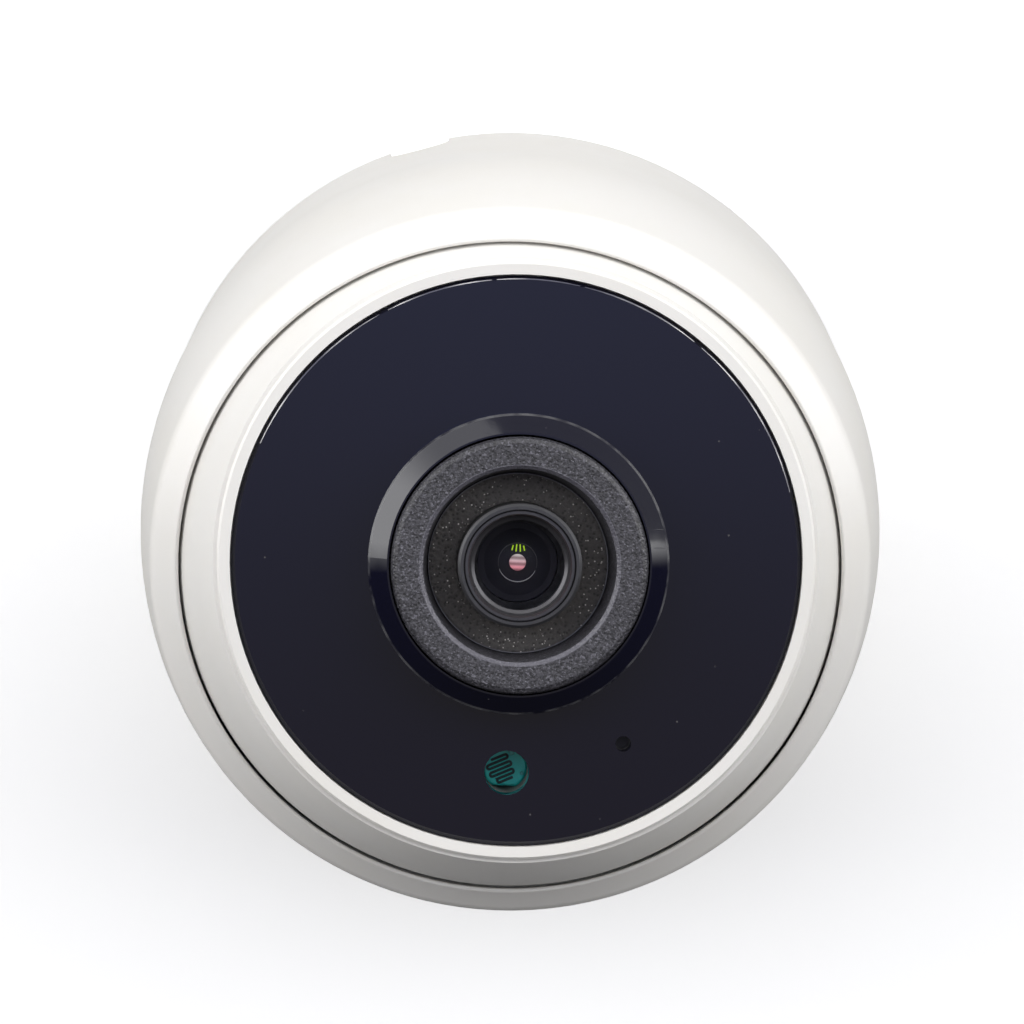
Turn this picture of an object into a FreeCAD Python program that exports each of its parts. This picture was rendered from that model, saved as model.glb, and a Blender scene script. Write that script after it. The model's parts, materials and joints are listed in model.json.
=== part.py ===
import FreeCAD, Part
import math
import os

import Sketcher

# Indoor eyeball dome camera, base down: a mounting base with a twist-lock cover, and a ball
# that pans, tilts and rolls between a seat ring and the cover's lip. The ball holds the lens,
# its day and night filter, the boards, the infrared lamps and the dark front panel.
#
# Frame of the part: millimetres, +Z up out of the mounting face, origin at that face's centre.
# Frame of the ball: origin at the ball's centre, +Z along the lens axis.

DRIVING = {
    # ball, its halves and the fit that it turns in
    "ball_radius": 40.3,
    "ball_wall": 2.0,
    "ball_clearance": 2.9,
    "rest_tilt": 9.5,
    "rest_roll": 11.2,
    "split_drop": 4.0,
    "running_gap": 0.3,
    "snug_gap": 0.05,
    # flat rim around the panel
    "bezel_height": 21.1,
    "bezel_shelf": 0.472,
    "bezel_step": 0.9,
    "edge_break": 0.3,
    # front panel and its raised collar
    "panel_radius": 32.75,
    "panel_gap": 0.15,
    "panel_thickness": 2.0,
    "panel_sink": 0.15,
    "panel_edge_break": 0.45,
    "tape_thickness": 0.5,
    "ledge_width": 2.1,
    "ledge_thickness": 1.8,
    "collar_draft": 0.1,
    "collar_spread": 2.15,
    "collar_wall": 4.9,
    "collar_edge": 0.18,
    "collar_land": 0.2,
    "collar_rise": 6.7,
    # hood and foam around the lens
    "hood_radius": 14.5,
    "hood_gap": 0.25,
    "hood_rise": 8.0,
    "hood_edge_round": 0.7,
    "hood_face_width": 3.2,
    "hood_mouth_chamfer": 0.4,
    "hood_well_taper": 1.0,
    "hood_floor_depth": 6.8,
    "hood_floor_thickness": 1.5,
    "hood_wall": 1.4,
    "hood_flange_width": 2.9,
    "foam_thickness": 1.5,
    "barrel_gap": 0.5,
    # lens
    "head_radius": 7.0,
    "head_length": 8.5,
    "thread_radius": 5.95,
    "thread_length": 11.8,
    "retainer_radius": 6.3,
    "retainer_length": 2.6,
    "front_glass_radius": 5.65,
    "front_glass_length": 4.1,
    "glass_rim_radius": 5.1,
    "glass_bulge": 1.0,
    "glass_hollow": 1.6,
    "inner_glass_bulge": 0.8,
    "rear_glass_bulge": 1.0,
    "rear_glass_belly": 0.4,
    "inner_bore_radius": 4.15,
    "pupil_radius": 2.3,
    # lens holder, filter carriage and sensor
    "holder_tube_radius": 8.0,
    "holder_tube_length": 8.2,
    "holder_half_length": 14.2,
    "holder_half_width": 10.2,
    "holder_wall": 1.2,
    "ear_radius": 2.6,
    "filter_pitch": 8.0,
    "filter_width": 7.2,
    "filter_depth": 8.0,
    "carriage_thickness": 1.4,
    "carriage_gap": 0.3,
    "pane_thickness": 0.5,
    "magnet_radius": 1.4,
    "sensor_length": 9.0,
    "sensor_width": 8.0,
    "sensor_thickness": 1.0,
    # boards and what stands on them
    "board_top": 2.0,
    "board_side": 38.0,
    "board_thickness": 1.6,
    "board_hole_pitch": 34.0,
    "standoff_length": 9.0,
    "standoff_radius": 2.2,
    "small_screw_radius": 0.9,
    "small_head_radius": 1.8,
    "small_head_height": 1.3,
    "lamp_board_radius": 33.2,
    "lamp_board_bore": 10.0,
    "lamp_clearance": 1.0,
    "lamp_side": 9.0,
    "lamp_base_thickness": 1.2,
    "lamp_dome_radius": 3.6,
    "lamp_dome_height": 3.5,
    "chip_side": 12.0,
    "chip_thickness": 1.2,
    "pad_thickness": 0.8,
    "sink_side": 26.0,
    "sink_base": 2.0,
    "sink_height": 7.0,
    "fin_thickness": 1.2,
    # light sensor and microphone behind the panel
    "port_offset": 0.25,
    "light_port_radius": 2.55,
    "light_port_angle": 90.0,
    "cell_radius": 2.55,
    "cell_flat_width": 4.3,
    "cell_thickness": 2.0,
    "cell_sink": 5.0,
    "sleeve_wall": 0.9,
    "mic_port_radius": 0.9,
    "mic_port_angle": 123.0,
    "capsule_radius": 2.0,
    "capsule_height": 2.4,
    # screws that join the halves of the ball
    "post_ring_radius": 33.6,
    "post_radius": 2.9,
    "post_hole_radius": 1.1,
    "shell_screw_hole": 1.4,
    "shell_head_radius": 2.3,
    "shell_head_height": 1.6,
    "shell_head_drop": 9.0,
    "shell_screw_length": 15.0,
    "lug_ring_radius": 31.2,
    "lug_radius": 2.4,
    # cable swivel at the back of the ball
    "swivel_radius": 6.8,
    "swivel_bore": 4.2,
    "swivel_flange_radius": 9.2,
    "swivel_flange_thickness": 0.9,
    "hub_radius": 12.0,
    "hub_thickness": 2.8,
    "clip_radius": 9.0,
    "clip_thickness": 0.8,
    # cover
    "cover_flare": 6.7,
    "cover_lift": 0.4,
    "cover_wall": 2.0,
    "cover_draft": 0.6,
    "skirt_height": 22.0,
    "bell_radius": 117.0,
    "shoulder_step": 2.3,
    "shoulder_rise": 9.3,
    "mouth_rise": 12.0,
    "lip_gap": 0.35,
    "shoulder_round": 2.4,
    "lip_round": 0.3,
    "seal_seat_depth": 1.1,
    "seal_height": 2.2,
    "notch_width": 8.0,
    "notch_height": 7.0,
    "notch_angle": -61.0,
    # base, seat ring and twist lock
    "plate_thickness": 2.5,
    "plate_gap": 0.6,
    "cable_hole_radius": 12.0,
    "screw_circle_radius": 30.0,
    "screw_hole_radius": 2.25,
    "screw_boss_radius": 5.0,
    "screw_boss_height": 5.0,
    "drum_step": 0.9,
    "drum_wall": 2.0,
    "seat_drop": 9.6,
    "seat_height": 3.8,
    "spigot_height": 3.6,
    "lock_ledge_bottom": 6.6,
    "lock_ledge_height": 2.0,
    "lock_ledge_reach": 2.6,
    "lock_ledge_sweep": 40.0,
    "lug_bottom": 4.0,
    "lug_height": 2.3,
    "lug_gap": 1.4,
    "lug_sweep": 20.0,
    "stop_sweep": 3.0,
}

SHEET = "Sizes"
SHELL_SCREW_ANGLES = (90.0, 210.0, 330.0)
LAMP_BOARD_SCREW_ANGLES = (30.0, 150.0, 270.0)
THIRDS = 3
FIN_COUNT = 6

doc = FreeCAD.newDocument("dome_camera")
sheet = doc.addObject("Spreadsheet::Sheet", SHEET)
for row, (alias, value) in enumerate(DRIVING.items(), start=1):
    sheet.set(f"A{row}", alias)
    sheet.set(f"B{row}", str(value))
    sheet.setAlias(f"B{row}", alias)
doc.recompute()


class Size:
    """A length worked out from the sheet: the expression that binds it, and its value now."""

    def __init__(self, text, value):
        self.text = text
        self.value = value

    def _join(self, other, sign, worked_out, swapped=False):
        text = other.text if isinstance(other, Size) else repr(float(other))
        first, second = (text, self.text) if swapped else (self.text, text)
        return Size(f"({first} {sign} {second})", worked_out)

    def __add__(self, other):
        return self._join(other, "+", self.value + number(other))

    def __radd__(self, other):
        return self + other

    def __sub__(self, other):
        return self._join(other, "-", self.value - number(other))

    def __rsub__(self, other):
        return self._join(other, "-", number(other) - self.value, swapped=True)

    def __mul__(self, other):
        return self._join(other, "*", self.value * number(other))

    def __rmul__(self, other):
        return self * other

    def __truediv__(self, other):
        return self._join(other, "/", self.value / number(other))

    def __neg__(self):
        return Size(f"(0 - {self.text})", -self.value)


class Sizes:
    """The sheet's cells as Size values, by alias."""

    def __getattr__(self, alias):
        return Size(f"{SHEET}.{alias}", float(getattr(sheet, alias)))


def number(size):
    return size.value if isinstance(size, Size) else float(size)


def text_of(size):
    return size.text if isinstance(size, Size) else repr(float(size))


def root(size):
    return Size(f"sqrt({size.text})", math.sqrt(size.value))


def round_at(radius, height):
    """How far from the axis a ball of this radius is, at this height from its centre."""
    return root(radius * radius - height * height)


def cap(radius, rise):
    """The radius of a cap this wide and this high, so that its centre lies on the axis."""
    return (radius * radius + rise * rise) / (2 * rise)


S = Sizes()

# Radii and heights in the part's frame that several pieces share.
BALL_HEIGHT = S.ball_radius + S.ball_clearance
COVER_RADIUS = S.ball_radius + S.cover_flare
SHOULDER_RADIUS = S.ball_radius + S.shoulder_step
SEAL_SEAT_RADIUS = S.ball_radius + S.seal_seat_depth
DRUM_RADIUS = S.ball_radius + S.drum_step

# Radii in the ball's frame that several pieces share.
BEZEL_RADIUS = round_at(S.ball_radius, S.bezel_height - S.bezel_step) - S.bezel_shelf
PANEL_BORE = S.hood_radius + S.hood_gap
COLLAR_TOP_RADIUS = PANEL_BORE + S.collar_land
COLLAR_RADIUS = COLLAR_TOP_RADIUS + S.collar_spread
HOOD_MOUTH_RADIUS = S.hood_radius - S.hood_face_width
HOOD_FLOOR_RADIUS = HOOD_MOUTH_RADIUS - S.hood_well_taper
HOOD_FLANGE_RADIUS = S.hood_radius + S.hood_flange_width
LAMP_RING_RADIUS = HOOD_FLANGE_RADIUS + S.lamp_dome_radius + S.lamp_clearance
RECESS_RADIUS = S.panel_radius + S.panel_gap
LEDGE_RADIUS = RECESS_RADIUS - S.ledge_width
PORT_RING_RADIUS = (HOOD_FLANGE_RADIUS + LEDGE_RADIUS) / 2 + S.port_offset

# Heights in the ball's frame that several pieces share.
PANEL_FACE = S.bezel_height - S.panel_sink
PANEL_BACK = PANEL_FACE - S.panel_thickness
LEDGE_TOP = PANEL_BACK - S.tape_thickness
LEDGE_BOTTOM = LEDGE_TOP - S.ledge_thickness
LENS_FRONT = PANEL_FACE + S.hood_rise
HOOD_FLOOR = LENS_FRONT - S.hood_floor_depth
HEAD_BACK = LENS_FRONT - S.head_length
LENS_BACK = HEAD_BACK - S.thread_length
BOARD_BACK = S.board_top - S.board_thickness
LAMP_BOARD_BACK = S.board_top + S.standoff_length
LAMP_BOARD_TOP = LAMP_BOARD_BACK + S.board_thickness
INNER_RADIUS = S.ball_radius - S.ball_wall
CARRIAGE_FLOOR = S.board_top + S.sensor_thickness + 1.6
CARRIAGE_SLOT = S.carriage_thickness + 2 * S.carriage_gap
HOLDER_TOP = CARRIAGE_FLOOR + CARRIAGE_SLOT + S.holder_wall + 1.5
HUB_BACK = -(S.ball_radius - 2.3)
HUB_FRONT = HUB_BACK + S.hub_thickness
SHELL_HEAD_SEAT = -S.shell_head_drop
DRUM_TOP = BALL_HEIGHT - S.seat_drop - S.seat_height - S.running_gap

# ---------------------------------------------------------------- placing


def ball_frame():
    """Where the ball's own frame lies in the part: tilted about X, then rolled about its axis."""
    tilt = FreeCAD.Rotation(FreeCAD.Vector(1, 0, 0), float(sheet.rest_tilt))
    roll = FreeCAD.Rotation(FreeCAD.Vector(0, 0, 1), float(sheet.rest_roll))
    return FreeCAD.Placement(FreeCAD.Vector(0, 0, number(BALL_HEIGHT)), tilt * roll)


def swivel_frame():
    """The cable swivel tilts with the ball, and doesn't roll with it."""
    tilt = FreeCAD.Rotation(FreeCAD.Vector(1, 0, 0), float(sheet.rest_tilt))
    return FreeCAD.Placement(FreeCAD.Vector(0, 0, number(BALL_HEIGHT)), tilt)


def at(x=0.0, y=0.0, z=0.0, turn=0.0):
    spin = FreeCAD.Rotation(FreeCAD.Vector(0, 0, 1), turn)
    return FreeCAD.Placement(FreeCAD.Vector(x, y, z), spin)


def round_about(radius, angle, height=0.0):
    """A placement at an angle on a circle about the axis, turned to face outwards."""
    turn = math.radians(angle)
    x = number(radius) * math.cos(turn)
    y = number(radius) * math.sin(turn)
    return at(x, y, number(height), angle)


IN_BALL = ball_frame()
IN_SWIVEL = swivel_frame()
IN_PART = FreeCAD.Placement()
NODES = []


def node(piece, label, frame=IN_PART):
    """Names a finished piece and puts it in its place in the part."""
    piece.Label = label
    piece.Placement = frame
    NODES.append(piece)
    return piece


# ---------------------------------------------------------------- sketches


def new_body(name):
    return doc.addObject("PartDesign::Body", name + "_body")


def new_sketch(body, plane="XZ_Plane", lift=None):
    sketch = body.newObject("Sketcher::SketchObject", body.Name + "_sketch")
    origin = [o for o in body.Origin.OriginFeatures if o.Role == plane][0]
    sketch.AttachmentSupport = [(origin, "")]
    sketch.MapMode = "FlatFace"
    if lift is not None:
        sketch.setExpression("AttachmentOffset.Base.z", text_of(lift))
    return sketch


def to(x, y):
    """The next corner of an outline, joined by a straight line."""
    return (x, y, None, 0)


def arc_to(x, y, radius, side=1):
    """The next corner, joined by an arc whose centre lies left (1) or right (-1) of the way."""
    return (x, y, radius, side)


def arc_centre(start, end, radius, side):
    dx, dy = end[0] - start[0], end[1] - start[1]
    chord = math.hypot(dx, dy)
    away = math.sqrt(max(radius**2 - chord**2 / 4, 0.0))
    x = (start[0] + end[0]) / 2 - side * away * dy / chord
    y = (start[1] + end[1]) / 2 + side * away * dx / chord
    return FreeCAD.Vector(x, y, 0)


def bind(sketch, index, size):
    if isinstance(size, Size):
        sketch.setExpression(f"Constraints[{index}]", size.text)


def pin_point(sketch, edge, end, x, y):
    """Ties one end of an edge to its place, measured from the sketch's origin."""
    for kind, size, axis in (("DistanceX", x, -2), ("DistanceY", y, -1)):
        if number(size) == 0:
            added = sketch.addConstraint(Sketcher.Constraint("PointOnObject", edge, end, axis))
            continue
        made = Sketcher.Constraint(kind, -1, 1, edge, end, number(size))
        added = sketch.addConstraint(made)
        bind(sketch, added, size)


def outline(sketch, corners):
    """Draws a closed outline through the corners and ties every corner and arc to its size."""
    ends = []
    for k, corner in enumerate(corners):
        before = corners[k - 1]
        start = (number(before[0]), number(before[1]))
        end = (number(corner[0]), number(corner[1]))
        a, b = FreeCAD.Vector(*start, 0), FreeCAD.Vector(*end, 0)
        if corner[2] is None:
            edge = sketch.addGeometry(Part.LineSegment(a, b), False)
            ends.append((edge, 1, 2))
            continue
        radius = number(corner[2])
        centre = arc_centre(start, end, radius, corner[3])
        circle = Part.Circle(centre, FreeCAD.Vector(0, 0, 1), radius)
        first = math.atan2(a.y - centre.y, a.x - centre.x)
        last = math.atan2(b.y - centre.y, b.x - centre.x)
        if corner[3] < 0:
            first, last = last, first
        if last < first:
            last += 2 * math.pi
        edge = sketch.addGeometry(Part.ArcOfCircle(circle, first, last), False)
        ends.append((edge, 1, 2) if corner[3] > 0 else (edge, 2, 1))
        added = sketch.addConstraint(Sketcher.Constraint("Radius", edge, radius))
        bind(sketch, added, corner[2])
    for k, corner in enumerate(corners):
        edge, _, last = ends[k]
        following, first, _ = ends[(k + 1) % len(corners)]
        sketch.addConstraint(Sketcher.Constraint("Coincident", edge, last, following, first))
        pin_point(sketch, edge, last, corner[0], corner[1])
    return sketch


def rectangle(sketch, left, right, bottom, top):
    return outline(sketch, [to(left, bottom), to(right, bottom), to(right, top), to(left, top)])


def circle(sketch, radius, x=0.0, y=0.0):
    centre = FreeCAD.Vector(number(x), number(y), 0)
    shape = Part.Circle(centre, FreeCAD.Vector(0, 0, 1), number(radius))
    edge = sketch.addGeometry(shape, False)
    added = sketch.addConstraint(Sketcher.Constraint("Radius", edge, number(radius)))
    bind(sketch, added, radius)
    pin_point(sketch, edge, 3, x, y)
    return sketch


# ---------------------------------------------------------------- features


def turned(name, corners):
    """A body turned about its axis from an outline of (radius, height) corners."""
    body = new_body(name)
    sketch = outline(new_sketch(body), corners)
    feature = body.newObject("PartDesign::Revolution", name + "_turn")
    feature.Profile = sketch
    feature.ReferenceAxis = (sketch, ["V_Axis"])
    feature.Angle = 360
    body.Tip = feature
    return body


def pad(body, sketch, length):
    feature = body.newObject("PartDesign::Pad", body.Name + "_pad")
    feature.Profile = sketch
    feature.setExpression("Length", text_of(length))
    body.Tip = feature
    return feature


def pocket(body, sketch, length, upwards=False):
    feature = body.newObject("PartDesign::Pocket", body.Name + "_pocket")
    feature.Profile = sketch
    feature.setExpression("Length", text_of(length))
    feature.Reversed = upwards
    body.Tip = feature
    return feature


def repeat(body, feature, sketch, count):
    """Repeats a pad or pocket round the body's axis."""
    pattern = body.newObject("PartDesign::PolarPattern", body.Name + "_round")
    pattern.Originals = [feature]
    pattern.Axis = (sketch, ["N_Axis"])
    pattern.Angle = 360
    pattern.Occurrences = count
    body.Tip = pattern
    return pattern


def soften(body, radius, where):
    """Rounds the circular edges that lie at these (radius, height) places."""
    doc.recompute()
    base = body.Tip
    names = []
    for index, edge in enumerate(base.Shape.Edges, start=1):
        if not isinstance(edge.Curve, Part.Circle):
            continue
        for ring, height in where:
            same_ring = abs(edge.Curve.Radius - number(ring)) < 0.02
            if same_ring and abs(edge.Curve.Center.z - number(height)) < 0.02:
                names.append(f"Edge{index}")
    feature = body.newObject("PartDesign::Fillet", body.Name + "_fillet")
    feature.Base = (base, names)
    feature.setExpression("Radius", text_of(radius))
    body.Tip = feature
    return feature


def on_axis(angle, radius):
    """A point on a circle as two bound sizes. The angle itself is fixed."""
    turn = math.radians(angle)
    return radius * round(math.cos(turn), 9), radius * round(math.sin(turn), 9)


def cylinder(name, radius, height, place=IN_PART):
    made = doc.addObject("Part::Cylinder", name)
    made.setExpression("Radius", text_of(radius))
    made.setExpression("Height", text_of(height))
    made.Placement = place
    return made


def ball(name, radius):
    made = doc.addObject("Part::Sphere", name)
    made.setExpression("Radius", text_of(radius))
    return made


def block(name, length, width, height, place=IN_PART):
    made = doc.addObject("Part::Box", name)
    made.setExpression("Length", text_of(length))
    made.setExpression("Width", text_of(width))
    made.setExpression("Height", text_of(height))
    made.Placement = place
    return made


def joined(name, *pieces):
    made = doc.addObject("Part::MultiFuse", name)
    made.Shapes = list(pieces)
    return made


def cut(name, piece, *tools):
    tool = tools[0] if len(tools) == 1 else joined(name + "_tools", *tools)
    made = doc.addObject("Part::Cut", name)
    made.Base = piece
    made.Tool = tool
    return made


def shared(name, one, other):
    made = doc.addObject("Part::Common", name)
    made.Base = one
    made.Tool = other
    return made


def group(name, source, places):
    """One node of equal pieces: the source's shape at each place."""
    doc.recompute()
    made = doc.addObject("Part::Feature", name)
    copies = []
    for place in places:
        copy = source.Shape.copy()
        copy.Placement = place.multiply(source.Shape.Placement)
        copies.append(copy)
    made.Shape = Part.makeCompound(copies)
    return made


def screw(name, head_radius, head_height, shank_radius, shank_length):
    """A pan-head screw, its shank up from the head's seat at height 0 and a cross in its head."""
    half = head_radius * 0.55
    slot = head_height * 0.4
    arm = half * 0.32
    body = turned(
        name,
        [
            to(0, -head_height),
            to(head_radius * 0.72, -head_height),
            to(head_radius, -head_height * 0.55),
            to(head_radius, 0),
            to(shank_radius, 0),
            to(shank_radius, shank_length - shank_radius * 0.6),
            to(shank_radius * 0.4, shank_length),
            to(0, shank_length),
        ],
    )
    sketch = new_sketch(body, "XY_Plane", -head_height)
    outline(
        sketch,
        [
            to(-half, -arm), to(-arm, -arm), to(-arm, -half), to(arm, -half),
            to(arm, -arm), to(half, -arm), to(half, arm), to(arm, arm),
            to(arm, half), to(-arm, half), to(-arm, arm), to(-half, arm),
        ],
    )
    pocket(body, sketch, slot, upwards=True)
    return body


# ---------------------------------------------------------------- base and cover


def mounting_base():
    """Plate on the ceiling, with a drum that carries the seat ring and three lock ledges."""
    drum_bore = DRUM_RADIUS - S.drum_wall
    plate_radius = COVER_RADIUS - S.cover_wall - S.plate_gap
    body = turned(
        "mounting_base",
        [
            to(S.cable_hole_radius, 0),
            to(plate_radius - S.edge_break, 0),
            to(plate_radius, S.edge_break),
            to(plate_radius, S.plate_thickness),
            to(DRUM_RADIUS, S.plate_thickness),
            to(DRUM_RADIUS, DRUM_TOP),
            to(drum_bore, DRUM_TOP),
            to(drum_bore, S.plate_thickness),
            to(S.cable_hole_radius, S.plate_thickness),
        ],
    )
    boss = circle(new_sketch(body, "XY_Plane"), S.screw_boss_radius, S.screw_circle_radius)
    repeat(body, pad(body, boss, S.screw_boss_height), boss, THIRDS)
    hole = circle(new_sketch(body, "XY_Plane"), S.screw_hole_radius, S.screw_circle_radius)
    repeat(body, pocket(body, hole, S.screw_boss_height, upwards=True), hole, THIRDS)
    pieces = [body]
    for k in range(THIRDS):
        middle = float(sheet.notch_angle) + 60 + 120 * k
        pieces += lock_ledge(k, middle)
    whole = pieces[0]
    for k, ledge in enumerate(pieces[1:]):
        fused = doc.addObject("Part::Fuse", f"base_with_ledges_{k}")
        fused.Base, fused.Tool = whole, ledge
        whole = fused
    gate = block("cable_gate", DRUM_RADIUS, S.notch_width + 2, S.notch_height + 2)
    gate.Placement = gate_place(S.screw_circle_radius, S.notch_width + 2, S.plate_thickness)
    return node(cut("mounting_base", whole, gate), "mounting_base")


def gate_place(start, width, bottom):
    """Where a block that opens a wall for the side cable exit starts, centred on the exit."""
    turn = float(sheet.notch_angle)
    angle = math.radians(turn)
    side = number(width) / 2
    x = number(start) * math.cos(angle) + side * math.sin(angle)
    y = number(start) * math.sin(angle) - side * math.cos(angle)
    return at(x, y, number(bottom), turn)


def ring_sector(name, inner, outer, height, bottom, middle, sweep):
    """A slice of a ring: between two radii, this high, and centred on an angle."""
    outside = cylinder(name + "_outside", outer, height)
    inside = cylinder(name + "_inside", inner, height)
    for piece in (outside, inside):
        piece.Angle = number(sweep)
        piece.Placement = at(0, 0, number(bottom), middle - number(sweep) / 2)
    inside.Angle = 360
    return cut(name, outside, inside)


def lock_ledge(k, middle):
    """A ledge that a cover lug turns under, and the stop at its far end."""
    inner = DRUM_RADIUS - S.drum_wall / 2
    outer = DRUM_RADIUS + S.lock_ledge_reach
    ledge = ring_sector(
        f"lock_ledge_{k}", inner, outer, S.lock_ledge_height,
        S.lock_ledge_bottom, middle, S.lock_ledge_sweep,
    )
    stop_middle = middle - number(S.lug_sweep) / 2 - number(S.stop_sweep) / 2 - 0.5
    stop_height = S.lock_ledge_bottom - S.plate_thickness / 2 + S.lock_ledge_height / 2
    stop = ring_sector(
        f"lock_stop_{k}", inner + 0.3, outer - 0.3, stop_height,
        S.plate_thickness / 2, stop_middle, S.stop_sweep,
    )
    return [ledge, stop]


def outer_cover():
    """Bell-shaped cover: drafted skirt, rounded shoulder, sloping front band and spherical lip."""
    shoulder = BALL_HEIGHT + S.shoulder_rise
    mouth = BALL_HEIGHT + S.mouth_rise
    lip_ball = S.ball_radius + S.lip_gap
    seal_top = shoulder - 0.6
    seal_rise = seal_top - BALL_HEIGHT
    skirt_radius = COVER_RADIUS - S.cover_draft
    lip = round_at(lip_ball, S.mouth_rise)
    seat_start = seal_top - 6
    body = turned(
        "outer_cover",
        [
            to(COVER_RADIUS - S.cover_wall, S.cover_lift),
            to(COVER_RADIUS, S.cover_lift),
            to(skirt_radius, S.skirt_height),
            arc_to(SHOULDER_RADIUS, shoulder, S.bell_radius),
            to(lip, mouth),
            arc_to(round_at(lip_ball, seal_rise), seal_top, lip_ball, -1),
            to(SEAL_SEAT_RADIUS, seal_top),
            to(SEAL_SEAT_RADIUS, seat_start),
            to(SEAL_SEAT_RADIUS + 0.8, seat_start - 2),
            arc_to(skirt_radius - S.cover_wall, S.skirt_height, S.bell_radius - S.cover_wall, -1),
        ],
    )
    soften(body, S.shoulder_round, [(SHOULDER_RADIUS, shoulder)])
    soften(body, S.lip_round, [(lip, mouth)])
    soften(body, S.edge_break, [(COVER_RADIUS, S.cover_lift)])
    pieces = [body]
    for k in range(THIRDS):
        middle = float(sheet.notch_angle) + 60 + 120 * k
        pieces.append(
            ring_sector(
                f"cover_lug_{k}",
                DRUM_RADIUS + S.lug_gap,
                COVER_RADIUS - S.cover_wall / 2 - S.cover_draft,
                S.lug_height, S.lug_bottom, middle, S.lug_sweep,
            )
        )
    whole = joined("cover_with_lugs", *pieces)
    straight = S.notch_height - S.notch_width / 2
    gate = block("notch_slot", S.cover_wall * 8, S.notch_width, straight)
    gate.Placement = gate_place(S.screw_circle_radius, S.notch_width, 0)
    arch = cylinder("notch_arch", S.notch_width / 2, S.cover_wall * 8)
    lie = FreeCAD.Rotation(FreeCAD.Vector(0, 1, 0), 90)
    foot = gate_place(S.screw_circle_radius, 0, straight)
    arch.Placement = foot.multiply(FreeCAD.Placement(FreeCAD.Vector(0, 0, 0), lie))
    for tool in (gate, arch):
        reach = COVER_RADIUS + 5 - S.screw_circle_radius
        tool.setExpression("Length" if tool is gate else "Height", text_of(reach))
    return node(cut("outer_cover", whole, gate, arch), "outer_cover")


def friction_ring():
    """Silicone ring behind the cover's lip, which holds the ball where it is set."""
    top = BALL_HEIGHT + S.shoulder_rise - 0.6 - S.snug_gap
    bottom = top - S.seal_height
    seat = SEAL_SEAT_RADIUS - S.snug_gap
    near_ball = S.ball_radius + S.running_gap
    body = turned(
        "friction_ring",
        [
            arc_to(round_at(near_ball, bottom - BALL_HEIGHT), bottom, near_ball, -1),
            to(seat, bottom),
            to(seat, top),
            to(round_at(near_ball, top - BALL_HEIGHT), top),
        ],
    )
    return node(body, "friction_ring")


def seat_ring():
    """Ring that the ball sits on. It turns on the drum, and its spigot keeps it central."""
    near_ball = S.ball_radius + S.running_gap
    top = BALL_HEIGHT - S.seat_drop
    shelf = top - S.seat_height
    spigot = DRUM_RADIUS - S.drum_wall - S.running_gap
    foot = shelf - S.spigot_height
    body = turned(
        "seat_ring",
        [
            to(round_at(near_ball, S.seat_drop), top),
            arc_to(round_at(near_ball, BALL_HEIGHT - foot), foot, near_ball, -1),
            to(spigot, foot),
            to(spigot, shelf),
            to(DRUM_RADIUS, shelf),
            to(DRUM_RADIUS, top),
        ],
    )
    return node(body, "seat_ring")


# ---------------------------------------------------------------- ball


def ball_front():
    """Front half of the ball: the white rim, the panel's recess, posts and lugs for screws."""
    step = S.bezel_height - S.bezel_step
    shell = turned(
        "ball_front",
        [
            to(round_at(S.ball_radius, S.split_drop), -S.split_drop),
            arc_to(round_at(S.ball_radius, step), step, S.ball_radius),
            to(BEZEL_RADIUS, step),
            to(BEZEL_RADIUS, S.bezel_height - S.edge_break),
            to(BEZEL_RADIUS - S.edge_break, S.bezel_height),
            to(RECESS_RADIUS, S.bezel_height),
            to(RECESS_RADIUS, LEDGE_TOP),
            to(LEDGE_RADIUS, LEDGE_TOP),
            to(LEDGE_RADIUS, LEDGE_BOTTOM),
            to(round_at(INNER_RADIUS, LEDGE_BOTTOM), LEDGE_BOTTOM),
            arc_to(round_at(INNER_RADIUS, S.split_drop), -S.split_drop, INNER_RADIUS, -1),
        ],
    )
    post_length = LEDGE_BOTTOM + S.split_drop + 0.6
    pieces, holes = [shell], []
    for k, angle in enumerate(SHELL_SCREW_ANGLES):
        place = round_about(S.post_ring_radius, angle, -S.split_drop)
        pieces.append(cylinder(f"front_post_{k}", S.post_radius, post_length, place))
        holes.append(cylinder(f"front_pilot_{k}", S.post_hole_radius, post_length - 3, place))
    for k, angle in enumerate(LAMP_BOARD_SCREW_ANGLES):
        place = round_about(S.lug_ring_radius, angle, LAMP_BOARD_TOP)
        lug_length = LEDGE_BOTTOM - LAMP_BOARD_TOP + 0.7
        pieces.append(cylinder(f"front_lug_{k}", S.lug_radius, lug_length, place))
        holes.append(cylinder(f"lug_pilot_{k}", S.small_screw_radius, lug_length, place))
    whole = joined("ball_front_whole", *pieces)
    trimmed = shared("ball_front_trimmed", whole, ball("front_envelope", S.ball_radius))
    return node(cut("ball_front", trimmed, *holes), "ball_front", IN_BALL)


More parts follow.
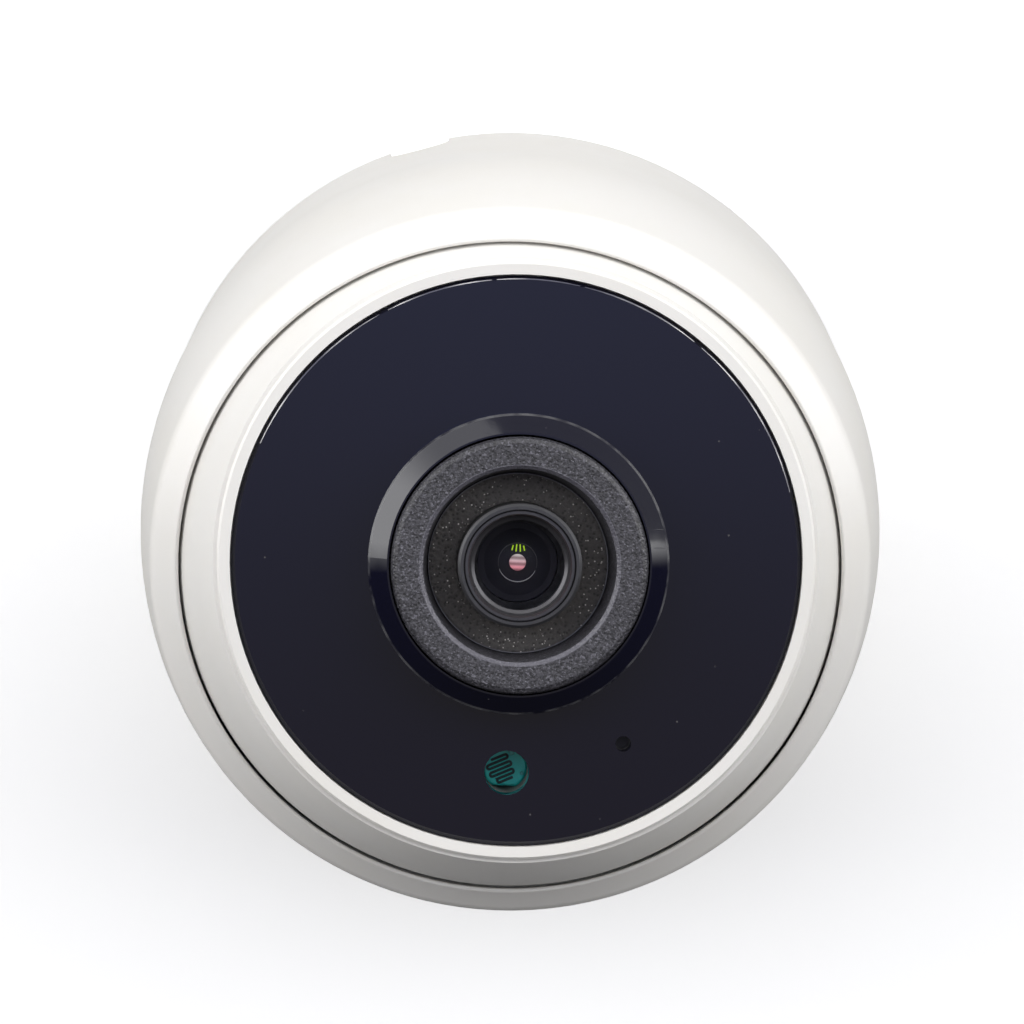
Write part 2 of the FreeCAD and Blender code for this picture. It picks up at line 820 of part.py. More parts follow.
def ball_back():
    """Back half of the ball: a shell with a flat hub for the cable swivel and screw wells."""
    top = -S.split_drop - S.snug_gap
    swivel_hole = S.swivel_radius + S.running_gap
    recess = S.swivel_flange_radius + S.running_gap
    shell = turned(
        "ball_back",
        [
            arc_to(round_at(S.ball_radius, S.split_drop), top, S.ball_radius),
            to(round_at(INNER_RADIUS, S.split_drop), top),
            arc_to(S.hub_radius, -round_at(INNER_RADIUS, S.hub_radius), INNER_RADIUS, -1),
            to(S.hub_radius, HUB_FRONT),
            to(swivel_hole, HUB_FRONT),
            to(swivel_hole, HUB_BACK),
            to(recess, HUB_BACK),
            to(recess, -round_at(S.ball_radius, recess)),
        ],
    )
    depth = round_at(S.ball_radius, S.post_ring_radius - S.post_radius) - S.split_drop
    reach = S.shell_head_drop - S.split_drop
    pieces, holes = [shell], []
    for k, angle in enumerate(SHELL_SCREW_ANGLES):
        post = round_about(S.post_ring_radius, angle, -S.split_drop - depth)
        pieces.append(cylinder(f"back_post_{k}", S.post_radius + 0.9, depth - S.snug_gap, post))
        well = round_about(S.post_ring_radius, angle, -S.ball_radius)
        well_length = S.ball_radius - S.shell_head_drop
        holes.append(cylinder(f"back_well_{k}", S.shell_head_radius + 0.3, well_length, well))
        foot = round_about(S.post_ring_radius, angle, SHELL_HEAD_SEAT)
        holes.append(cylinder(f"back_hole_{k}", S.shell_screw_hole, reach, foot))
    whole = joined("ball_back_whole", *pieces)
    trimmed = shared("ball_back_trimmed", whole, ball("back_envelope", S.ball_radius))
    return node(cut("ball_back", trimmed, *holes), "ball_back", IN_BALL)


def shell_screws():
    one = screw(
        "shell_screw", S.shell_head_radius, S.shell_head_height,
        S.post_hole_radius - 0.05, S.shell_screw_length,
    )
    places = [round_about(S.post_ring_radius, a, SHELL_HEAD_SEAT) for a in SHELL_SCREW_ANGLES]
    return node(group("shell_screws", one, places), "shell_screws", IN_BALL)


def panel_tape():
    ring = turned(
        "panel_tape",
        [
            to(LEDGE_RADIUS, LEDGE_TOP),
            to(S.panel_radius - 0.3, LEDGE_TOP),
            to(S.panel_radius - 0.3, PANEL_BACK),
            to(LEDGE_RADIUS, PANEL_BACK),
        ],
    )
    return node(ring, "panel_tape", IN_BALL)


def front_panel():
    """Dark infrared-pass panel with a raised conical collar, a light port and a sound port."""
    edge = S.panel_edge_break
    panel = turned(
        "front_panel",
        [
            to(PANEL_BORE, PANEL_BACK),
            to(S.panel_radius, PANEL_BACK),
            to(S.panel_radius, PANEL_FACE - edge),
            to(S.panel_radius - edge, PANEL_FACE),
            to(COLLAR_RADIUS + S.collar_draft, PANEL_FACE),
            to(COLLAR_RADIUS, PANEL_FACE + S.collar_wall - S.collar_edge),
            to(COLLAR_RADIUS - S.collar_edge, PANEL_FACE + S.collar_wall),
            to(COLLAR_TOP_RADIUS, PANEL_FACE + S.collar_rise),
            to(PANEL_BORE, PANEL_FACE + S.collar_rise),
        ],
    )
    for radius, angle in (
        (S.light_port_radius, float(sheet.light_port_angle)),
        (S.mic_port_radius, float(sheet.mic_port_angle)),
    ):
        x, y = on_axis(angle, PORT_RING_RADIUS)
        hole = circle(new_sketch(panel, "XY_Plane", PANEL_BACK), radius, x, y)
        pocket(panel, hole, S.panel_thickness, upwards=True)
    return node(panel, "front_panel", IN_BALL)


def lens_hood():
    """Grained ring round the lens, with a tapered well and a flange behind the panel."""
    flange_top = PANEL_BACK - S.running_gap
    flange_bottom = flange_top - S.hood_wall
    floor_bottom = HOOD_FLOOR - S.hood_floor_thickness
    barrel_hole = S.head_radius + S.barrel_gap
    inner_wall = S.hood_radius - S.hood_wall
    hood = turned(
        "lens_hood",
        [
            to(inner_wall, flange_bottom),
            to(HOOD_FLANGE_RADIUS, flange_bottom),
            to(HOOD_FLANGE_RADIUS, flange_top),
            to(S.hood_radius, flange_top),
            to(S.hood_radius, LENS_FRONT - S.hood_edge_round),
            to(S.hood_radius - S.hood_edge_round * 0.3, LENS_FRONT - S.hood_edge_round * 0.3),
            to(S.hood_radius - S.hood_edge_round, LENS_FRONT),
            to(HOOD_MOUTH_RADIUS, LENS_FRONT),
            to(HOOD_MOUTH_RADIUS - S.hood_mouth_chamfer, LENS_FRONT - S.hood_mouth_chamfer),
            to(HOOD_FLOOR_RADIUS, HOOD_FLOOR),
            to(barrel_hole, HOOD_FLOOR),
            to(barrel_hole, floor_bottom),
            to(inner_wall, floor_bottom),
        ],
    )
    return node(hood, "lens_hood", IN_BALL)


def foam_ring():
    inner = S.head_radius + S.snug_gap
    outer = HOOD_FLOOR_RADIUS - S.snug_gap
    ring = turned(
        "foam_ring",
        [
            to(inner, HOOD_FLOOR),
            to(outer, HOOD_FLOOR),
            to(outer, HOOD_FLOOR + S.foam_thickness - 0.3),
            to(outer - 0.3, HOOD_FLOOR + S.foam_thickness),
            to(inner, HOOD_FLOOR + S.foam_thickness),
        ],
    )
    return node(ring, "foam_ring", IN_BALL)


# ---------------------------------------------------------------- lens

FRONT_GLASS_BACK = LENS_FRONT - S.retainer_length - S.front_glass_length
STOP_FRONT = FRONT_GLASS_BACK - 2.2


def lens_barrel():
    """Head and threaded body in one, bored in steps for the glass, with a small inner stop."""
    shoulder = S.front_glass_radius - 1.0
    barrel = turned(
        "lens_barrel",
        [
            to(S.thread_radius - 1.2, LENS_BACK),
            to(S.thread_radius - 0.3, LENS_BACK),
            to(S.thread_radius, LENS_BACK + 0.3),
            to(S.thread_radius, HEAD_BACK),
            to(S.head_radius, HEAD_BACK),
            to(S.head_radius, LENS_FRONT - 0.3),
            to(S.head_radius - 0.3, LENS_FRONT),
            to(S.retainer_radius + S.snug_gap, LENS_FRONT),
            to(S.retainer_radius + S.snug_gap, LENS_FRONT - S.retainer_length),
            to(S.front_glass_radius + S.snug_gap, LENS_FRONT - S.retainer_length),
            to(S.front_glass_radius + S.snug_gap, FRONT_GLASS_BACK),
            to(shoulder, FRONT_GLASS_BACK),
            to(shoulder, STOP_FRONT),
            to(S.pupil_radius, STOP_FRONT),
            to(S.pupil_radius, STOP_FRONT - 0.6),
            to(S.thread_radius - 1.2, STOP_FRONT - 0.6),
        ],
    )
    pitch, depth = 0.5, 0.24
    start = LENS_BACK + 0.8
    grooves = int(number(HEAD_BACK) - number(start))
    rings = []
    for k in range(grooves):
        low = start + k * 1.0 + pitch / 2
        outer = S.thread_radius + 0.5
        inner = S.thread_radius - depth
        rings.append(
            [to(inner, low + pitch / 2), to(outer, low - pitch / 2), to(outer, low + pitch * 1.5)]
        )
    for ring in rings:
        sketch = outline(new_sketch(barrel), ring)
        groove = barrel.newObject("PartDesign::Groove", "thread_groove")
        groove.Profile = sketch
        groove.ReferenceAxis = (sketch, ["V_Axis"])
        groove.Angle = 360
        barrel.Tip = groove
    return node(barrel, "lens_barrel", IN_BALL)


def lens_retainer():
    """Stepped ring that holds the front glass, with a polished inner lip."""
    back = LENS_FRONT - S.retainer_length
    ring = turned(
        "lens_retainer",
        [
            to(S.glass_rim_radius, back),
            to(S.retainer_radius, back),
            to(S.retainer_radius, LENS_FRONT - 0.35),
            to(S.retainer_radius - 0.15, LENS_FRONT - 0.2),
            to(S.retainer_radius - 0.45, LENS_FRONT - 0.2),
            to(S.retainer_radius - 0.6, LENS_FRONT - 0.8),
            to(S.glass_rim_radius + 0.35, LENS_FRONT - 1.2),
            to(S.glass_rim_radius, LENS_FRONT - 1.5),
        ],
    )
    return node(ring, "lens_retainer", IN_BALL)


def front_glass():
    """First element: domed in front and hollowed behind."""
    top = LENS_FRONT - S.retainer_length - S.snug_gap
    bottom = FRONT_GLASS_BACK
    radius = S.front_glass_radius
    rim = S.glass_rim_radius - S.snug_gap
    hollow = radius - 1.6
    glass = turned(
        "front_glass",
        [
            to(0, bottom + S.glass_hollow),
            arc_to(hollow, bottom, cap(hollow, S.glass_hollow), -1),
            to(radius, bottom),
            to(radius, top),
            to(rim, top),
            arc_to(0, top + S.glass_bulge, cap(rim, S.glass_bulge)),
        ],
    )
    return node(glass, "front_glass", IN_BALL)


def inner_glass():
    """Second element, in front of the stop."""
    base = STOP_FRONT + 0.1
    radius = S.inner_bore_radius + 0.4
    rim = radius - 0.7
    glass = turned(
        "inner_glass",
        [
            to(0, base),
            to(radius, base),
            to(radius, base + 0.8),
            to(rim, base + 0.8),
            arc_to(0, base + 0.8 + S.inner_glass_bulge, cap(rim, S.inner_glass_bulge)),
        ],
    )
    return node(glass, "inner_glass", IN_BALL)


def rear_glass():
    base = LENS_BACK + 0.8
    radius = S.thread_radius - 1.2 - S.snug_gap
    rim = radius - 0.6
    face = base + 1.6
    glass = turned(
        "rear_glass",
        [
            to(0, base - S.rear_glass_belly),
            arc_to(rim, base, cap(rim, S.rear_glass_belly)),
            to(radius, base),
            to(radius, face),
            to(rim, face),
            arc_to(0, face + S.rear_glass_bulge, cap(rim, S.rear_glass_bulge)),
        ],
    )
    return node(glass, "rear_glass", IN_BALL)


# ---------------------------------------------------------------- lens holder and filter

EAR_OFFSET = S.holder_half_length + 2.2
TRAY_TOP = CARRIAGE_FLOOR + CARRIAGE_SLOT
CARRIAGE_HALF_WIDTH = S.filter_depth / 2 + 1.2


def centred_block(name, half_length, half_width, bottom, height, x=0.0, y=0.0):
    made = block(name, 2 * half_length, 2 * half_width, height)
    for axis, centre, half in (("x", x, half_length), ("y", y, half_width)):
        made.setExpression(f"Placement.Base.{axis}", text_of(centre - half))
    made.setExpression("Placement.Base.z", text_of(bottom))
    return made


def eared_block(name, bottom, height):
    """The holder's outline: a block with a screw ear at each end."""
    pieces = [centred_block(name + "_block", S.holder_half_length, S.holder_half_width,
                            bottom, height)]
    for side, mark in ((-1, "left"), (1, "right")):
        x = EAR_OFFSET * side
        place = at(number(x), 0, number(bottom))
        pieces.append(cylinder(f"{name}_ear_{mark}", S.ear_radius, height, place))
        middle = (S.holder_half_length + 1.0) * side
        pieces.append(
            centred_block(f"{name}_neck_{mark}", S.ear_radius * 0.6, S.ear_radius * 0.98,
                          bottom, height, middle)
        )
    return joined(name + "_outline", *pieces)


def ear_holes(name, radius, bottom, height):
    return [
        cylinder(f"{name}_{mark}", radius, height, at(number(EAR_OFFSET * side), 0, number(bottom)))
        for side, mark in ((-1, "left"), (1, "right"))
    ]


def filter_tray():
    """Lower half of the lens holder: sensor chamber, coil pocket and the carriage's slot."""
    height = TRAY_TOP - S.board_top
    inside_length = S.holder_half_length - S.holder_wall
    inside_width = S.holder_half_width - S.holder_wall
    chamber_length = S.sensor_length / 2 + 0.5
    chamber_width = S.sensor_width / 2 + 0.5
    tools = [
        centred_block("tray_slot", inside_length, inside_width, CARRIAGE_FLOOR, CARRIAGE_SLOT + 1),
        centred_block("tray_chamber", chamber_length, chamber_width, S.board_top,
                      S.sensor_thickness + 0.8),
        cylinder("tray_light", S.filter_width / 2, height, at(0, 0, float(sheet.board_top))),
        centred_block("tray_coil", 6.3, 1.65, CARRIAGE_FLOOR - 1.5, 2, 0.0, 7.15),
    ]
    tools += ear_holes("tray_hole", S.small_screw_radius + 0.15, S.board_top, height)
    return node(
        cut("filter_tray", eared_block("tray", S.board_top, height), *tools),
        "filter_tray", IN_BALL,
    )


def lens_holder():
    """Upper half of the holder: the cap over the carriage and the tube that the lens sits in."""
    height = HOLDER_TOP - TRAY_TOP - S.snug_gap
    bottom = TRAY_TOP + S.snug_gap
    tube = cylinder(
        "holder_tube", S.holder_tube_radius, S.holder_tube_length + 1, at(0, 0, number(HOLDER_TOP) - 1)
    )
    ribs = [
        centred_block(f"holder_rib_{k}", 0.6, 0.9, HOLDER_TOP - 0.5, 5.0, x * S.holder_tube_radius)
        for k, x in enumerate((-1, 1))
    ]
    whole = joined("holder_whole", eared_block("holder", bottom, height), tube, *ribs)
    bore = cylinder("holder_bore", S.thread_radius + S.snug_gap, 40, at(0, 0, number(bottom) - 1))
    holes = ear_holes("holder_hole", S.small_screw_radius + 0.15, bottom, height)
    return node(cut("lens_holder", whole, bore, *holes), "lens_holder", IN_BALL)


def holder_screws():
    shank = HOLDER_TOP - S.board_top + 1.2
    one = screw("holder_screw", S.small_head_radius, S.small_head_height,
                S.small_screw_radius, shank)
    flip = FreeCAD.Placement(FreeCAD.Vector(0, 0, 0), FreeCAD.Rotation(FreeCAD.Vector(1, 0, 0), 180))
    places = [
        at(side * number(EAR_OFFSET), 0, number(HOLDER_TOP)).multiply(flip) for side in (-1, 1)
    ]
    return node(group("holder_screws", one, places), "holder_screws", IN_BALL)


def filter_carriage():
    """Slider with two windows: infrared-cut glass over the sensor by day, clear glass by night."""
    bottom = CARRIAGE_FLOOR + S.carriage_gap
    half_length = S.filter_pitch / 2 + S.filter_width / 2 + 1.0
    middle = S.filter_pitch / 2
    frame = centred_block("carriage_frame", half_length, CARRIAGE_HALF_WIDTH, bottom,
                          S.carriage_thickness, middle)
    arm = centred_block("carriage_arm", 2.2, 1.9, bottom, S.carriage_thickness, middle,
                        CARRIAGE_HALF_WIDTH + 1.7)
    tools = []
    for k, x in enumerate((0.0, S.filter_pitch)):
        tools.append(
            centred_block(f"carriage_seat_{k}", S.filter_width / 2, S.filter_depth / 2,
                          bottom + S.carriage_thickness - S.pane_thickness, 2, x)
        )
        tools.append(
            centred_block(f"carriage_window_{k}", S.filter_width / 2 - 0.5,
                          S.filter_depth / 2 - 0.5, bottom - 1, 4, x)
        )
    seat = at(number(middle), number(CARRIAGE_HALF_WIDTH + 1.7), number(bottom) + 0.3)
    tools.append(cylinder("carriage_magnet_seat", S.magnet_radius + S.snug_gap, 4, seat))
    return node(cut("filter_carriage", joined("carriage_whole", frame, arm), *tools),
                "filter_carriage", IN_BALL)


def filter_panes():
    bottom = CARRIAGE_FLOOR + S.carriage_gap + S.carriage_thickness - S.pane_thickness
    for label, x in (("day_pane", S.filter_pitch * 0), ("night_pane", S.filter_pitch)):
        pane = plate_body(label, bottom, S.pane_thickness, S.filter_width / 2 - S.snug_gap,
                          S.filter_depth / 2 - S.snug_gap, x)
        node(pane, label, IN_BALL)


def carriage_magnet():
    middle = S.filter_pitch / 2
    y = CARRIAGE_HALF_WIDTH + 1.7
    bottom = CARRIAGE_FLOOR + S.carriage_gap + 0.3
    magnet = new_body("carriage_magnet")
    disc = circle(new_sketch(magnet, "XY_Plane", bottom), S.magnet_radius, middle, y)
    pad(magnet, disc, S.carriage_thickness - 0.3)
    return node(magnet, "carriage_magnet", IN_BALL)


def plate_body(name, bottom, thickness, half_length, half_width, x=0.0, y=0.0):
    body = new_body(name)
    sketch = rectangle(new_sketch(body, "XY_Plane", bottom), x - half_length, x + half_length,
                       y - half_width, y + half_width)
    pad(body, sketch, thickness)
    return body


def filter_coil():
    coil = plate_body("filter_coil", CARRIAGE_FLOOR - 1.45, Size("1.2", 1.2), Size("6.1", 6.1),
                      Size("1.45", 1.45), Size("0.0", 0.0), Size("7.15", 7.15))
    window = rectangle(new_sketch(coil, "XY_Plane", CARRIAGE_FLOOR - 1.45), -4.6, 4.6, 6.7, 7.6)
    pocket(coil, window, 1.2, upwards=True)
    return node(coil, "filter_coil", IN_BALL)


def image_sensor():
    half_length, half_width = S.sensor_length / 2, S.sensor_width / 2
    bottom = S.board_top
    package = plate_body("image_sensor", bottom, S.sensor_thickness, half_length, half_width)
    glass_bottom = bottom + S.sensor_thickness - 0.4
    seat = rectangle(new_sketch(package, "XY_Plane", glass_bottom), 0.7 - half_length,
                     half_length - 0.7, 0.7 - half_width, half_width - 0.7)
    pocket(package, seat, 0.4, upwards=True)
    node(package, "image_sensor", IN_BALL)
    glass = plate_body("sensor_glass", glass_bottom, Size("0.4", 0.4), half_length - 0.75,
                       half_width - 0.75)
    return node(glass, "sensor_glass", IN_BALL)


# ---------------------------------------------------------------- boards

LAMP_ANGLES = (0.0, 180.0, 225.0, 315.0)


def main_board():
    half = S.board_side / 2
    board = plate_body("main_board", BOARD_BACK, S.board_thickness, half, half)
    corner = S.board_hole_pitch / 2
    sketch = new_sketch(board, "XY_Plane", BOARD_BACK)
    for x, y in ((-1, -1), (1, -1), (1, 1), (-1, 1)):
        circle(sketch, S.small_screw_radius + 0.15, corner * x, corner * y)
    for side in (-1, 1):
        circle(sketch, S.small_screw_radius + 0.1, EAR_OFFSET * side, 0.0)
    pocket(board, sketch, S.board_thickness, upwards=True)
    return node(board, "main_board", IN_BALL)


def standoffs():
    post = new_body("standoff")
    sketch = circle(new_sketch(post, "XY_Plane"), S.standoff_radius)
    pad(post, sketch, S.standoff_length)
    hole = circle(new_sketch(post, "XY_Plane"), S.small_screw_radius)
    pocket(post, hole, S.standoff_length - 2, upwards=True)
    corner = float(sheet.board_hole_pitch) / 2
    places = [at(x * corner, y * corner, float(sheet.board_top))
              for x, y in ((-1, -1), (1, -1), (1, 1), (-1, 1))]
    node(group("standoffs", post, places), "standoffs", IN_BALL)
    one = screw("board_screw", S.small_head_radius, S.small_head_height,
                S.small_screw_radius - 0.05, S.board_thickness + 5)
    low = [at(x * corner, y * corner, number(BOARD_BACK))
           for x, y in ((-1, -1), (1, -1), (1, 1), (-1, 1))]
    return node(group("board_screws", one, low), "board_screws", IN_BALL)


def lamp_board():
    board = new_body("lamp_board")
    sketch = new_sketch(board, "XY_Plane", LAMP_BOARD_BACK)
    circle(sketch, S.lamp_board_radius)
    circle(sketch, S.lamp_board_bore)
    pad(board, sketch, S.board_thickness)
    holes = new_sketch(board, "XY_Plane", LAMP_BOARD_BACK)
    for angle in LAMP_BOARD_SCREW_ANGLES:
        x, y = on_axis(angle, S.lug_ring_radius)
        circle(holes, S.small_screw_radius + 0.15, x, y)
    pocket(board, holes, S.board_thickness, upwards=True)
    gaps = [
        cylinder(f"lamp_board_gap_{k}", S.post_radius + 0.5, 4,
                 round_about(S.post_ring_radius, angle, number(LAMP_BOARD_BACK) - 1))
        for k, angle in enumerate(SHELL_SCREW_ANGLES)
    ]
    return node(cut("lamp_board", board, *gaps), "lamp_board", IN_BALL)


def lamp_board_screws():
    one = screw("lamp_board_screw", S.small_head_radius, S.small_head_height,
                S.small_screw_radius - 0.05, S.board_thickness + 3)
    places = [round_about(S.lug_ring_radius, a, LAMP_BOARD_BACK) for a in LAMP_BOARD_SCREW_ANGLES]
    return node(group("lamp_board_screws", one, places), "lamp_board_screws", IN_BALL)


def lamps():
    half = S.lamp_side / 2
    base = plate_body("lamp_base", Size("0.0", 0.0), S.lamp_base_thickness, half, half)
    places = [round_about(LAMP_RING_RADIUS, a, LAMP_BOARD_TOP) for a in LAMP_ANGLES]
    node(group("lamp_bases", base, places), "lamp_bases", IN_BALL)
    radius = S.lamp_dome_radius
    low = S.lamp_base_thickness + S.snug_gap
    dome = turned(
        "lamp_dome",
        [
            to(0, low),
            to(radius, low),
            to(radius, low + 0.5),
            arc_to(0, low + S.lamp_dome_height, cap(radius, S.lamp_dome_height - 0.5)),
        ],
    )
    return node(group("lamp_domes", dome, places), "lamp_domes", IN_BALL)


def light_cell():
    """Photoresistor behind the light port: a disc with two flats, in a rubber sleeve."""
    angle = float(sheet.light_port_angle)
    top = PANEL_FACE - S.cell_sink
    foot = top - S.cell_thickness
    place = round_about(PORT_RING_RADIUS, angle)
    disc = cylinder("cell_disc", S.cell_radius, S.cell_thickness, at(0, 0, number(foot)))
    flats = centred_block("cell_flats", S.cell_flat_width / 2, S.cell_radius + 1, foot - 1,
                          S.cell_thickness + 2)
    cell = shared("cell_cut", disc, flats)
    node(group("light_cell", cell, [place]), "light_cell", IN_BALL)
    inner = S.cell_radius + S.snug_gap
    outer = inner + S.sleeve_wall
    sleeve = turned(
        "port_sleeve",
        [
            to(inner, LAMP_BOARD_TOP),
            to(outer, LAMP_BOARD_TOP),
            to(outer, PANEL_BACK - S.snug_gap),
            to(inner, PANEL_BACK - S.snug_gap),
        ],
    )
    node(group("light_sleeve", sleeve, [place]), "light_sleeve", IN_BALL)
    window = turned(
        "port_window",
        [
            to(0, PANEL_FACE - 1.2),
            to(S.light_port_radius - S.snug_gap, PANEL_FACE - 1.2),
            to(S.light_port_radius - S.snug_gap, PANEL_FACE - 0.15),
            to(0, PANEL_FACE - 0.15),
        ],
    )
    return node(group("light_window", window, [place]), "light_window", IN_BALL)


def microphone():
    """Capsule behind the sound port, in a rubber boot that seals on the panel's back."""
    place = round_about(PORT_RING_RADIUS, float(sheet.mic_port_angle))
    foot = PANEL_BACK - S.capsule_height - 0.8
    capsule = turned(
        "capsule",
        [
            to(0, foot),
            to(S.capsule_radius, foot),
            to(S.capsule_radius, foot + S.capsule_height),
            to(0.8, foot + S.capsule_height),
            to(0.8, foot + S.capsule_height - 0.5),
            to(0, foot + S.capsule_height - 0.5),
        ],
    )
    node(group("mic_capsule", capsule, [place]), "mic_capsule", IN_BALL)
    outer = S.capsule_radius + S.sleeve_wall
    boot = turned(
        "boot",
        [
            to(S.capsule_radius + S.snug_gap, LAMP_BOARD_TOP),
            to(outer, LAMP_BOARD_TOP),
            to(outer, PANEL_BACK - S.snug_gap),
            to(S.mic_port_radius, PANEL_BACK - S.snug_gap),
            to(S.mic_port_radius, foot + S.capsule_height + S.snug_gap),
            to(S.capsule_radius + S.snug_gap, foot + S.capsule_height + S.snug_gap),
        ],
    )
    return node(group("mic_boot", boot, [place]), "mic_boot", IN_BALL)


def heat_path():
    """Processor, thermal pad and finned heat sink on the back of the main board."""
    half = S.chip_side / 2
    chip_back = BOARD_BACK - S.chip_thickness
    pad_back = chip_back - S.pad_thickness
    sink_face = pad_back - S.sink_base
    node(plate_body("processor", chip_back, S.chip_thickness, half, half), "processor", IN_BALL)
    pad_half = half - 0.5
    node(plate_body("thermal_pad", pad_back, S.pad_thickness, pad_half, pad_half),
         "thermal_pad", IN_BALL)
    half = S.sink_side / 2
    sink = plate_body("heat_sink", sink_face, S.sink_base, half, half)
    fin_pitch = (S.sink_side - S.fin_thickness) / (FIN_COUNT - 1)
    fins = new_sketch(sink, "XY_Plane", sink_face - S.sink_height)
    for k in range(FIN_COUNT):
        left = fin_pitch * k - half
        rectangle(fins, left, left + S.fin_thickness, -half, half)
    pad(sink, fins, S.sink_height)
    return node(sink, "heat_sink", IN_BALL)


def board_socket():
    socket = plate_body("board_socket", BOARD_BACK - 4.5, Size("4.5", 4.5), Size("6.0", 6.0),
                        Size("1.8", 1.8), Size("0.0", 0.0), Size("-16.4", -16.4))
    mouth = rectangle(new_sketch(socket, "XY_Plane", BOARD_BACK - 4.5), -5.2, 5.2, -17.4, -15.4)
    pocket(socket, mouth, 3.5, upwards=True)
    return node(socket, "board_socket", IN_BALL)


def cable_swivel():
    """Bush at the back of the ball that the cable leaves through, and the clip that holds it."""
    flange_front = HUB_BACK - S.running_gap
    flange_back = flange_front - S.swivel_flange_thickness
    groove = HUB_FRONT + S.running_gap
    top = groove + S.clip_thickness + 1.4
    swivel = turned(
        "cable_swivel",
        [
            to(S.swivel_bore + 0.5, flange_back),
            to(S.swivel_flange_radius - 0.3, flange_back),
            to(S.swivel_flange_radius, flange_front),
            to(S.swivel_radius, flange_front),
            to(S.swivel_radius, groove),
            to(S.swivel_radius - 0.8, groove),
            to(S.swivel_radius - 0.8, groove + S.clip_thickness),
            to(S.swivel_radius, groove + S.clip_thickness),
            to(S.swivel_radius, top - 0.4),
            to(S.swivel_radius - 0.4, top),
            to(S.swivel_bore, top),
            to(S.swivel_bore, flange_back + 0.5),
        ],
    )
    node(swivel, "cable_swivel", IN_SWIVEL)
    clip = new_body("swivel_clip")
    bottom = groove + 0.05
    sketch = new_sketch(clip, "XY_Plane", bottom)
    circle(sketch, S.clip_radius)
    circle(sketch, S.swivel_radius - 0.75)
    pad(clip, sketch, S.clip_thickness - 0.1)
    gap = rectangle(new_sketch(clip, "XY_Plane", bottom), -2.0, 2.0, 0.5, S.clip_radius + 1)
    pocket(clip, gap, S.clip_thickness, upwards=True)
    return node(clip, "swivel_clip", IN_SWIVEL)


def finish():
    """Checks every object and writes one STEP file for each node."""
    doc.recompute()
    for thing in doc.Objects:
        if "Invalid" in thing.State or "Error" in thing.State:
            raise RuntimeError(f"{thing.Label} failed: {thing.State}")
    os.makedirs("parts", exist_ok=True)
    for piece in NODES:
        shape = piece.Shape
        if shape.isNull() or not shape.isValid() or not shape.Solids:
            raise RuntimeError(f"{piece.Label} has no valid solid")
        shape.exportStep(f"parts/{piece.Label}.step")
        print(f"{piece.Label}: {len(shape.Solids)} solids, {shape.Volume:.1f} mm3")


for make in (
    mounting_base, outer_cover, friction_ring, seat_ring, cable_swivel,
    ball_front, ball_back, shell_screws, panel_tape, front_panel, lens_hood, foam_ring,
    lens_barrel, lens_retainer, front_glass, inner_glass, rear_glass,
    filter_tray, lens_holder, holder_screws, filter_carriage, filter_panes, carriage_magnet,
    filter_coil, image_sensor, main_board, standoffs, lamp_board, lamp_board_screws, lamps,
    light_cell, microphone, heat_path, board_socket,
):
    make()
finish()
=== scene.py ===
import json
import math
import random

import bmesh
import bpy
from bpy.props import FloatProperty, FloatVectorProperty, IntProperty, PointerProperty
from mathutils import Matrix, Vector, noise


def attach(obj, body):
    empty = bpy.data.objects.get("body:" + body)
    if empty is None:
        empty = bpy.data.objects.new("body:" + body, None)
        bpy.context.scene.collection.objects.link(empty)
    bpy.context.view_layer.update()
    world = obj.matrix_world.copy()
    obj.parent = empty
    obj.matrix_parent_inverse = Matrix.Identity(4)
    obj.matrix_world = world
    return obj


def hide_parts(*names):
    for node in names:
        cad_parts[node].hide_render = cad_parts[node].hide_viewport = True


bl_info = {
    "name": "Eyeball Dome Camera Looks",
    "version": (1, 0, 0),
    "blender": (4, 5, 0),
    "location": "3D View > Sidebar > Dome Camera",
    "description": "Finishes and fine pieces for an indoor eyeball dome camera",
    "category": "Object",
}

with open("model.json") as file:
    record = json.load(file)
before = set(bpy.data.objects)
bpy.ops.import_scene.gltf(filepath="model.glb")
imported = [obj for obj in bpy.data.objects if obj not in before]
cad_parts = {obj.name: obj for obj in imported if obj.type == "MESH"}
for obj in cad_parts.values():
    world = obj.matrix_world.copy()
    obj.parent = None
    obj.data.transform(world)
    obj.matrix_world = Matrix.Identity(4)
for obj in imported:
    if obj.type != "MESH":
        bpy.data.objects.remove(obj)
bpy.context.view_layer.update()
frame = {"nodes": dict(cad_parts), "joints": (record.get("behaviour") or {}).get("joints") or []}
JOINTS = {joint["name"]: joint for joint in frame["joints"]}

# The ball's own frame at rest: centre, lens axis, and the line that the filter slides along.
CENTRE = Vector(JOINTS["roll"]["pos_m"])
LENS_AXIS = Vector(JOINTS["roll"]["axis"]).normalized()
SIDE_AXIS = -Vector(JOINTS["filter_slide"]["axis"]).normalized()
UP_AXIS = LENS_AXIS.cross(SIDE_AXIS)
BALL_FRAME = Matrix((
    (SIDE_AXIS.x, UP_AXIS.x, LENS_AXIS.x, CENTRE.x),
    (SIDE_AXIS.y, UP_AXIS.y, LENS_AXIS.y, CENTRE.y),
    (SIDE_AXIS.z, UP_AXIS.z, LENS_AXIS.z, CENTRE.z),
    (0, 0, 0, 1),
))

TURNING_RINGS = 42000.0  # lathe marks on the lens metal, in radians per metre of radius
WEAVE = 9000.0  # glass cloth in the circuit boards, in radians per metre
STOP_RADIUS = 0.00222  # the ring of light seen at the edge of the lens stop
# The slivers are painted glints of the lens coating, which glow.
SLIVER_PITCH = 0.00044  # from one sliver above the pupil to the next
SLIVER_HALF_WIDTH = 0.00007
SLIVER_HEIGHTS = (0.00030, 0.00042, 0.00042, 0.00030)  # each sliver's half length


# ---------------------------------------------------------------- measures taken from the frame


